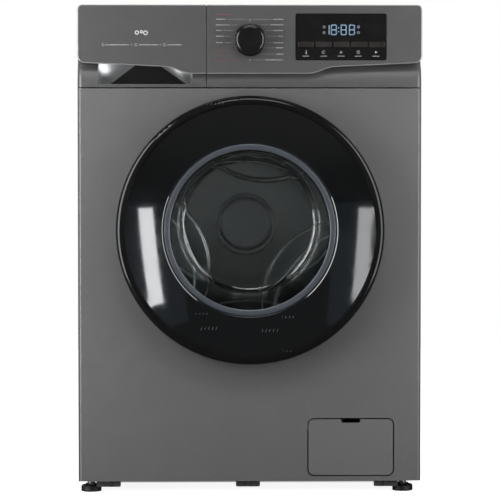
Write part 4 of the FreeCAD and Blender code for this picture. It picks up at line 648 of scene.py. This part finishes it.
def back_pressing(radius, back, sheet):
    """Back wall of the drum: a raised hub, a bead near the rim and three stepped petals between the
    lifters."""
    def rise(r, turn):
        """How far the sheet stands forward of its rearmost plane."""
        up = 1.0 * MM * (1 - ramp(r, 44 * MM, 58 * MM))
        up += 2.0 * MM * ramp(r, 172 * MM, 180 * MM) * (1 - ramp(r, 190 * MM, 198 * MM))
        x, z = r * math.cos(turn), r * math.sin(turn)
        for petal in PETALS:
            along = math.radians(petal)
            for middle, bend in PETAL_STEPS:
                reach = math.hypot(x - middle * math.cos(along), z - middle * math.sin(along))
                up += 2.0 * MM * (1 - ramp(reach, bend - 3 * MM, bend + 3 * MM))
        return min(up, 5.6 * MM)

    rings = [0.0005 + (radius - 0.0005) * i / 92 for i in range(93)]
    columns, points, faces = 300, [], []
    for r in rings:
        for i in range(columns):
            turn = 2 * math.pi * i / columns
            points.append((AXIS_X + r * math.cos(turn), back - sheet - rise(r, turn),
                           AXIS_Z + r * math.sin(turn)))
    for j in range(len(rings) - 1):
        for i in range(columns):
            k = (i + 1) % columns
            faces.append((j * columns + i, (j + 1) * columns + i, (j + 1) * columns + k, j * columns + k))
    wall = piece("drum_back_pressing", points, faces, drum_back_steel().material, 60)
    thick = wall.modifiers.new("sheet", "SOLIDIFY")
    thick.thickness, thick.offset = sheet * 0.9, 1.0
    riding(wall, "drum", ["drum_shell"])

    # Painted shade: near-black shallow dimples stand for the drain holes and the dark seen through them.
    dark = moulded("drain_hole_painted_shade", rgb(14, 14, 14), 0.7)
    points, faces = [], []
    for row, r in enumerate((141 * MM, 147.5 * MM, 154 * MM)):
        count = 104
        for i in range(count):
            turn = 2 * math.pi * (i + 0.5 * (row % 2)) / count
            if any(abs((math.degrees(turn) - petal + 180) % 360 - 180) < 33 for petal in PETALS):
                continue
            centre = Vector((AXIS_X + r * math.cos(turn), back - sheet - rise(r, turn),
                             AXIS_Z + r * math.sin(turn)))
            base = len(points)
            for ring, depth in ((2.6 * MM, 0.02 * MM), (2.3 * MM, 0.32 * MM), (1.9 * MM, 0.10 * MM)):
                points += [centre + Vector((ring * math.cos(a * math.pi / 5), -depth,
                                            ring * math.sin(a * math.pi / 5))) for a in range(10)]
            for step in (0, 10):
                faces += [(base + step + a, base + step + 10 + a, base + step + 10 + (a + 1) % 10,
                           base + step + (a + 1) % 10) for a in range(10)]
            faces.append(tuple(base + 20 + a for a in range(9, -1, -1)))
    riding(piece("drum_back_holes", points, faces, dark.material, 40), "drum", ["drum_shell"])


perforated_drum()

# ---- gasket, springs and hoses ----


def bellows():
    """Rubber door gasket: bead on the panel's collar, lip against the glass, fold, and bead on the tub."""
    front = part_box("front_panel")[0].y
    rim = 165 * MM
    run = [(1, 3), (1, -8), (10, -15.5), (18, -22.3), (19.4, -20.6), (12, -12), (7, -7), (16, -5.6),
           (25, -5.5), (31.5, -11.5), (38, -18), (51, -18), (56, -11.5), (61.5, 4.3), (73, 4.3), (73, 7),
           (59.5, 7), (54, -9), (48.5, -15), (40, -15), (33.5, -8), (27, -1.7), (4.5, -1.7), (4.5, 3)]
    outline = rounded_line([(front + y * MM, rim + r * MM) for y, r in run], 2.2 * MM, 3)
    gasket = lathe("gasket_bellows", outline, FINISHES["gasket_rubber"].material, 192, 60)
    standing(gasket, ["door_gasket"])
    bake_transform(gasket)


bellows()


def hanging_spring(name, x, y, low, high):
    """Close-wound extension spring with a half-round hook at each end, from the brace down to the tub."""
    coil_radius, wire, turns, steps = 14 * MM, 1.6 * MM, 14, 22
    bottom, top = low + coil_radius, high - coil_radius
    line = []
    for i in range(9):
        turn = math.pi * i / 8
        line.append(Vector((x - coil_radius * math.cos(turn), y, bottom - coil_radius * math.sin(turn))))
    line.reverse()
    count = turns * steps
    for i in range(1, count):
        turn = 2 * math.pi * i / steps
        line.append(Vector((x - coil_radius * math.cos(turn), y + coil_radius * math.sin(turn),
                            bottom + (top - bottom) * i / count)))
    for i in range(9):
        turn = math.pi * i / 8
        line.append(Vector((x - coil_radius * math.cos(turn), y, top + coil_radius * math.sin(turn))))
    spring = tube(name, line, lambda run: wire, FINISHES["spring_steel"].material, 10, 60)
    standing(spring, ["suspension_springs"])
    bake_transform(spring)


SPRING_LOW, SPRING_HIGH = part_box("suspension_springs")
for label, spring_x in (("left_spring_coil", SPRING_LOW.x + 15.6 * MM),
                        ("right_spring_coil", SPRING_HIGH.x - 15.6 * MM)):
    hanging_spring(label, spring_x, (SPRING_LOW.y + SPRING_HIGH.y) / 2, SPRING_LOW.z + 1.6 * MM,
                   SPRING_HIGH.z - 1.6 * MM)


def ribbed(outer, pitch, depth, plain, length):
    """Radius of a hose with rounded ribs between its two plain ends."""
    def radius(run):
        if run < plain or run > length - plain:
            return outer - depth
        return outer - depth / 2 + depth / 2 * math.sin(2 * math.pi * (run - plain) / pitch)
    return radius


def hose(name, route, outer, pitch=None, depth=0.0, plain=14 * MM):
    """A hose on the smooth line of its route, ribbed if it has a pitch."""
    step = pitch / 8 if pitch else 5 * MM
    points = even_points(spline_points([Vector(p) * MM for p in route], 24), step)
    length = sum((b - a).length for a, b in zip(points, points[1:]))
    radius = ribbed(outer, pitch, depth, plain, length) if pitch else (lambda run: outer)
    made = tube(name, points, radius, FINISHES["hose_rubber"].material, 28)
    return standing(made, ["inner_hoses"])


def hoses():
    fill = hose("fill_hose", [(-185, 30, 702), (-185, 30, 690), (-185, 30, 676), (-185, 30, 662),
                              (-185, 30, 652)],
                18.4 * MM, 7 * MM, 3.4 * MM, 10 * MM)
    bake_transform(fill)
    sump = hose("sump_hose", [(96, -60, 203), (96, -60, 186), (98, -64, 170), (122, -104, 158),
                              (147, -145, 149),
                              (150, -150, 136), (150, -150, 121)], 21.8 * MM, 9 * MM, 4 * MM)
    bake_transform(sump)
    drain = hose("drain_hose", [(196, -120, 94), (210, -120, 94), (227, -118, 94), (227, -100, 94),
                                (227, -20, 94),
                        (227, 60, 94), (226, 120, 93), (220, 142, 84), (215, 160, 75), (215, 200, 75),
                        (215, 254, 75)], 14.4 * MM, 6 * MM, 2.4 * MM, 22 * MM)
    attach(drain, "root")
    for name, x in (("left_feed_hose", -262), ("right_feed_hose", -230)):
        feed = hose(name, [(x, 192, 772), (x, 164, 772), (x, 135, 773), (x, 114, 782), (x, 95, 791),
                           (x, 72, 791),
                           (x, 49, 791)], 7.4 * MM)
        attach(feed, "root")


hoses()

# ---- door trims ----


def door_trims():
    """Frosted band on the glass flange with a bright rim."""
    face = glass_low.y
    band = [(face - 0.02 * MM, 138.4 * MM), (face - 0.3 * MM, 138.8 * MM), (face - 1.1 * MM, 141.5 * MM),
            (face - 1.4 * MM, 145 * MM), (face - 1.1 * MM, 147.4 * MM), (face - 0.5 * MM, 148.3 * MM),
            (face - 0.02 * MM, 148.6 * MM)]
    frost = moulded("frosted_band", rgb(62, 67, 73), 0.34, 4e-6, 700, 0.12, Coat_Weight=0.4,
                    Coat_Roughness=0.15)
    riding(lathe("flange_frosted_band", band, frost.material, 224), "door")
    rim = [(face - 0.02 * MM, 149.4 * MM), (face - 1.6 * MM, 149.8 * MM), (face - 2.5 * MM, 150.5 * MM),
           (face - 2.2 * MM, 151.3 * MM), (face - 0.02 * MM, 151.5 * MM)]
    bright = brushed("rim_bright", rgb(150, 154, 158), 0.16, (1, 1, 1), 0.06)
    riding(lathe("window_bright_rim", rim, bright.material, 224), "door")


def vent_marks():
    """Short slanted dashes moulded in the smoked dish and the rim."""
    points, faces = [], []

    def on_door(x, z):
        hits = []
        for node in ("door_cover", "door_outer_ring"):
            found, where, _, _ = NODES[node].ray_cast(Vector((x, -0.5, z)), Vector((0, 1, 0)))
            if found:
                hits.append(where.y)
        return min(hits) - 0.12 * MM

    groups = (
        # middle across and up, number of dashes, height of each and slant, in mm
        (-71, 288, 5, 6.5, 2.4), (34, 284, 5, 6.5, 1.6), (65, 307, 4, 5, 1.2), (-84, 313, 4, 2.6, 1.4),
        (63, 250, 3, 2.2, 0.6), (-60, 674, 5, 4, 2.2))
    for x, z, count, high, slant in groups:
        for i in range(count):
            middle = x + (i - (count - 1) / 2) * 6.4
            base = len(points)
            for u, v in ((-0.55, -0.5), (0.55, -0.5), (0.55, 0.0), (0.55, 0.5), (-0.55, 0.5), (-0.55, 0.0)):
                px, pz = (middle + u + v * slant) * MM, (z + v * high) * MM
                points.append((px, on_door(px, pz), pz))
            faces += [(base, base + 1, base + 2, base + 5), (base + 5, base + 2, base + 3, base + 4)]
    marks = piece("door_vent_marks", points, faces, SMOKED_MARK)
    body = marks.modifiers.new("body", "SOLIDIFY")
    body.thickness, body.offset = 0.15 * MM, 0.0
    riding(marks, "door")


door_trims()
vent_marks()

# ---- printed marks on the console ----


def legends():
    """Rows of programme names round the knob, greeked, each with a thin line towards its knob position."""
    chance = random.Random(4)
    grey, red = Prints(PLATE_Y), Prints(PLATE_Y)
    left, right = -58.6, 57.2
    rows = (
        # height, length of word and end of line in mm, whether red
        (827.6, 27, None, True), (819.6, 17, -6.5, False), (809.8, 24, -20.5, False), (800.4, 10, -28, False),
        (790.6, 13.5, -31, False), (779.4, 12, -31, False), (766.8, 8, -25, True), (757.7, 8, -19, True),
        (748.3, 8, -7, True))
    for height, word, line_end, is_red in rows:
        z = height * MM
        ink = red if is_red else grey
        ink.greeking(left * MM, z, word * MM, 1.5 * MM, chance)
        if line_end is not None:
            ink.line([((left + word + 2) * MM, z), (line_end * MM, z)], 0.28 * MM)
    rows = (
        (819.6, 17, 4.5), (810.2, 22, 18), (800.4, 17, 27), (790.6, 9, 29), (779.4, 17, 28),
        (770.7, 12, 24), (759.9, 12, 17), (749.8, 31, 4))
    for height, word, line_start in rows:
        z = height * MM
        grey.greeking((right - word) * MM, z, word * MM, 1.5 * MM, chance)
        grey.line([(line_start * MM, z), ((right - word - 2) * MM, z)], 0.28 * MM)
    grey.ring(0, 818.2 * MM, 1.5 * MM, 0.35 * MM).ring(0, 749.6 * MM, 1.5 * MM, 0.35 * MM)
    grey.made("programme_legends", PRINT_GREY, "root", "console_plastic")
    red.made("programme_legends_red", PRINT_RED, "root", "console_plastic")


def drawer_marks():
    """A generic mark of three bubbles, and a row of three ring icons with greeked words."""
    chance = random.Random(7)
    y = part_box("drawer_front")[0].y
    mark = Prints(y, 0.35 * MM)
    for x, z, radius in ((-194.5, 796.6, 3.6), (-186.8, 798.0, 2.7), (-179.6, 796.2, 4.0)):
        mark.ring(x * MM, z * MM, radius * MM, 1.6 * MM)
    mark.made("drawer_bubble_mark", MARK_METAL, "drawer", "console_plastic")
    words = Prints(y)
    for icon, start, long in ((-252.2, -247.5, 39.8), (-195.8, -190.3, 33.3), (-146.9, -141.8, 23.8)):
        words.ring(icon * MM, 775.8 * MM, 2.4 * MM, 0.5 * MM, start=0.9, sweep=5.4)
        words.greeking(start * MM, 775.6 * MM, long * MM, 1.5 * MM, chance)
    for x in (-203.4, -154.1):
        words.line([((x - 0.5) * MM, 773.6 * MM), ((x + 0.5) * MM, 777.8 * MM)], 0.35 * MM)
    words.made("drawer_feature_row", PRINT_GREY, "drawer", "console_plastic")


SEGMENTS = {
    # ends of each stroke of a digit, as shares of its width and height
    "top": ((0, 1), (1, 1)), "middle": ((0, 0.5), (1, 0.5)), "bottom": ((0, 0), (1, 0)),
    "upper left": ((0, 0.5), (0, 1)), "upper right": ((1, 0.5), (1, 1)),
    "lower left": ((0, 0), (0, 0.5)), "lower right": ((1, 0), (1, 0.5)),
}


def digit(ink, x, z, wide, high, strokes=tuple(SEGMENTS)):
    """A seven-stroke digit whose strokes are thin outlined bars."""
    inset, thick, gap = 0.9 * MM, 1.5 * MM, 0.32 * MM
    for stroke in strokes:
        (u1, v1), (u2, v2) = SEGMENTS[stroke]
        flat = v1 == v2
        middle_x, middle_z = x + wide * (u1 + u2) / 2, z + high * (v1 + v2) / 2
        long = (wide if flat else high / 2) - inset
        w, h = (long, thick) if flat else (thick, long)
        for side in (-1, 1):
            if flat:
                ink.bar(middle_x, middle_z + side * (h / 2 - gap / 2), w - thick * 0.4, gap)
                ink.bar(middle_x + side * (w / 2 - gap / 2), middle_z, gap, h - gap)
            else:
                ink.bar(middle_x + side * (w / 2 - gap / 2), middle_z, gap, h - thick * 0.4)
                ink.bar(middle_x, middle_z + side * (h / 2 - gap / 2), w - gap, gap)


def display():
    """Clock digits, small state icons, and an icon and a greeked word under each button."""
    chance = random.Random(11)
    y = DISPLAY_LOW.y
    digits = Prints(y, 0.08 * MM)
    low, high, wide = 793.4 * MM, 16.4 * MM, 8.6 * MM
    digit(digits, 127.8 * MM, low, wide, high, ("upper right", "lower right"))
    for x in (140.3, 157.2, 171.4):
        digit(digits, x * MM, low, wide, high)
    for z in (798.4, 805.0):
        digits.bar(153.0 * MM, z * MM, 1.3 * MM, 1.3 * MM)
    digits.made("display_digits", DIGIT_GLOW, "root", "display_black")
    icons = Prints(y, 0.08 * MM)
    for x in (127.8, 186.9):
        for z in (806.6, 796.8):
            icons.ring(x * MM, z * MM, 2.3 * MM, 0.5 * MM)
            icons.bar(x * MM, z * MM, 0.5 * MM, 2.2 * MM)
    for i, x in enumerate((97.0, 127.1, 157.1, 186.8, 217.5)):
        centre, z = x * MM, 763.2 * MM
        if i == 0:
            icons.bar(centre, z + 0.8 * MM, 1.1 * MM, 5.0 * MM).ring(centre, z - 2.0 * MM, 1.6 * MM, 0.6 * MM)
        elif i == 1:
            icons.ring(centre, z, 2.8 * MM, 0.5 * MM, start=0.6, sweep=5.2).bar(centre, z, 1.4 * MM, 1.4 * MM)
        elif i == 2:
            for turn in range(4):
                reach = Vector((math.cos(turn * math.pi / 4), math.sin(turn * math.pi / 4))) * 2.6 * MM
                icons.line([(centre - reach.x, z - reach.y), (centre + reach.x, z + reach.y)], 0.45 * MM)
        elif i == 3:
            icons.ring(centre, z, 2.8 * MM, 0.5 * MM)
            icons.line([(centre, z + 1.8 * MM), (centre, z), (centre + 1.4 * MM, z)], 0.45 * MM)
        else:
            icons.outline([(centre - 1.8 * MM, z - 2.4 * MM), (centre + 2.4 * MM, z),
                           (centre - 1.8 * MM, z + 2.4 * MM)])
        icons.greeking(centre - 6 * MM, 756.4 * MM, 12 * MM, 1.5 * MM, chance)
    icons.made("display_icons", ICON_GLOW, "root", "display_black")


legends()
drawer_marks()
display()

# ---- studio ----


def aim(obj, target):
    obj.rotation_euler = (Vector(target) - obj.location).to_track_quat("-Z", "Y").to_euler()


def softbox(name, place, target, wide, high, radiance, colour=(1, 1, 1)):
    light = bpy.data.lights.new(name, "AREA")
    light.shape, light.size, light.size_y = "RECTANGLE", wide, high
    light.energy = radiance * math.pi * wide * high
    light.color = colour
    obj = bpy.data.objects.new(name, light)
    obj.location = place
    aim(obj, target)
    obj.visible_camera = False
    bpy.context.scene.collection.objects.link(obj)
    return obj


def studio():
    """Two strips that stand in the dish as bright bars, a light at each side, and fainter ones above and
    behind."""
    def strip(name, seen_from, degrees, lean, wide, radiance, halo):
        """A tall light that stands in the dish as a bright bar, with a wide faint panel behind it."""
        turn, reach, centre = math.radians(degrees), 2.6, Vector((seen_from, -0.30, AXIS_Z))
        towards = Vector((math.sin(turn), -math.cos(turn), 0))
        for part, away, across, tall, level, colour in (
                ("", reach, wide, 1.16, radiance, (0.98, 0.99, 1.0)),
                ("_halo", reach * 1.05, wide + 0.55, 1.9, halo, (0.6, 0.8, 1.0))):
            place = centre + towards * away + Vector((0, 0, 0.22))
            panel = softbox(name + part, place, centre, across, tall, level, colour)
            panel.rotation_euler.rotate_axis("Z", math.radians(lean))

    strip("strip_left", 0.19, -33.8, -3.5, 0.15, 3.3, 0.1)
    strip("strip_right", -0.18, 33.2, 5.5, 0.16, 7.0, 0.1)
    softbox("front_card", (0, -5.6, 0.42), (0, 0, 0.42), 3.0, 0.34, 0.16)
    softbox("front_top", (0, -1.9, 2.2), (0, -0.3, 0.5), 1.2, 0.5, 6.0)
    softbox("side_left", (-0.98, -0.85, 0.62), (-0.12, -0.3, 0.5), 0.6, 1.5, 7.4)
    softbox("side_right", (0.98, -0.85, 0.62), (0.12, -0.3, 0.5), 0.6, 1.5, 4.9)
    softbox("softbox_top", (0, 0.7, 3.0), (0, 0.2, 0.8), 2.4, 1.4, 2.4)
    softbox("softbox_back_left", (-2.4, 2.6, 1.7), (0, 0.2, 0.45), 1.6, 1.6, 2.4)
    softbox("softbox_back_right", (2.4, 2.6, 1.7), (0, 0.2, 0.45), 1.6, 1.6, 2.4)

    world = bpy.data.worlds.new("studio")
    bpy.context.scene.world = world
    world.use_nodes = True
    tree = world.node_tree
    sky = tree.nodes["Background"]
    sky.inputs["Color"].default_value = (1, 1, 1.01, 1)
    direction = tree.nodes.new("ShaderNodeSeparateXYZ")
    tree.links.new(tree.nodes.new("ShaderNodeTexCoord").outputs["Generated"], direction.inputs[0])
    horizon = tree.nodes.new("ShaderNodeMapRange")
    for socket, number in (("From Min", -0.036), ("From Max", -0.032), ("To Min", 0.008), ("To Max", 0.05)):
        horizon.inputs[socket].default_value = number
    tree.links.new(direction.outputs["Z"], horizon.inputs["Value"])
    tree.links.new(horizon.outputs[0], sky.inputs["Strength"])
    shown = tree.nodes.new("ShaderNodeBackground")
    shown.inputs["Color"].default_value = (1, 1, 1, 1)
    mix, path = tree.nodes.new("ShaderNodeMixShader"), tree.nodes.new("ShaderNodeLightPath")
    tree.links.new(path.outputs["Is Camera Ray"], mix.inputs[0])
    tree.links.new(sky.outputs[0], mix.inputs[1])
    tree.links.new(shown.outputs[0], mix.inputs[2])
    tree.links.new(mix.outputs[0], tree.nodes["World Output"].inputs["Surface"])


def floor():
    """Pale studio floor that runs into the white behind. It is dim in what the machine mirrors, and its glow
    fades out under the machine as a painted shadow."""
    half = 3.0
    plain = Finish("studio_floor", (0.8, 0.8, 0.8), 0.8)
    # Painted shadow: the floor's glow fades out under the machine.
    under = plain.level(plain.worked_out("ABSOLUTE", plain.along("X")), 0.29, 0.26)
    for low, high in ((-0.09, -0.07), (0.23, 0.21)):
        under = plain.worked_out("MULTIPLY", under, plain.level(plain.along("Y"), low, high))
    shown = plain.node("ShaderNodeEmission",
                       {"Color": (1, 1, 1, 1), "Strength": plain.level(under, 0, 1, 0.9, 0.03)})
    both = plain.node("ShaderNodeAddShader", {0: plain.shader.outputs[0], 1: shown.outputs[0]})
    dim = plain.node("ShaderNodeBsdfDiffuse", {"Color": (0.08, 0.08, 0.08, 1)})
    path = plain.node("ShaderNodeLightPath")
    mix = plain.node("ShaderNodeMixShader", {0: path.outputs["Is Camera Ray"], 1: dim.outputs[0],
                                             2: both.outputs[0]})
    plain.tree.links.new(mix.outputs[0], plain.tree.nodes["Material Output"].inputs["Surface"])
    ground = piece("studio_ground", [(-half, -half, 0), (half, -half, 0), (half, half, 0), (-half, half, 0)],
                   [(0, 1, 2, 3)], plain.material)


def camera():
    """Long lens, a little above the middle and to the left, aimed at the middle of the front."""
    eye = bpy.data.objects.new("camera", bpy.data.cameras.new("camera"))
    eye.location = (-0.10, -4.70, 0.60)
    eye.data.sensor_width, eye.data.lens = 36.0, 186.3
    eye.rotation_euler = (math.radians(90 - 2.28), 0, math.radians(-1.285))
    bpy.context.scene.collection.objects.link(eye)
    bpy.context.scene.camera = eye


studio()
floor()
camera()
bpy.context.scene.view_settings.view_transform = "Standard"
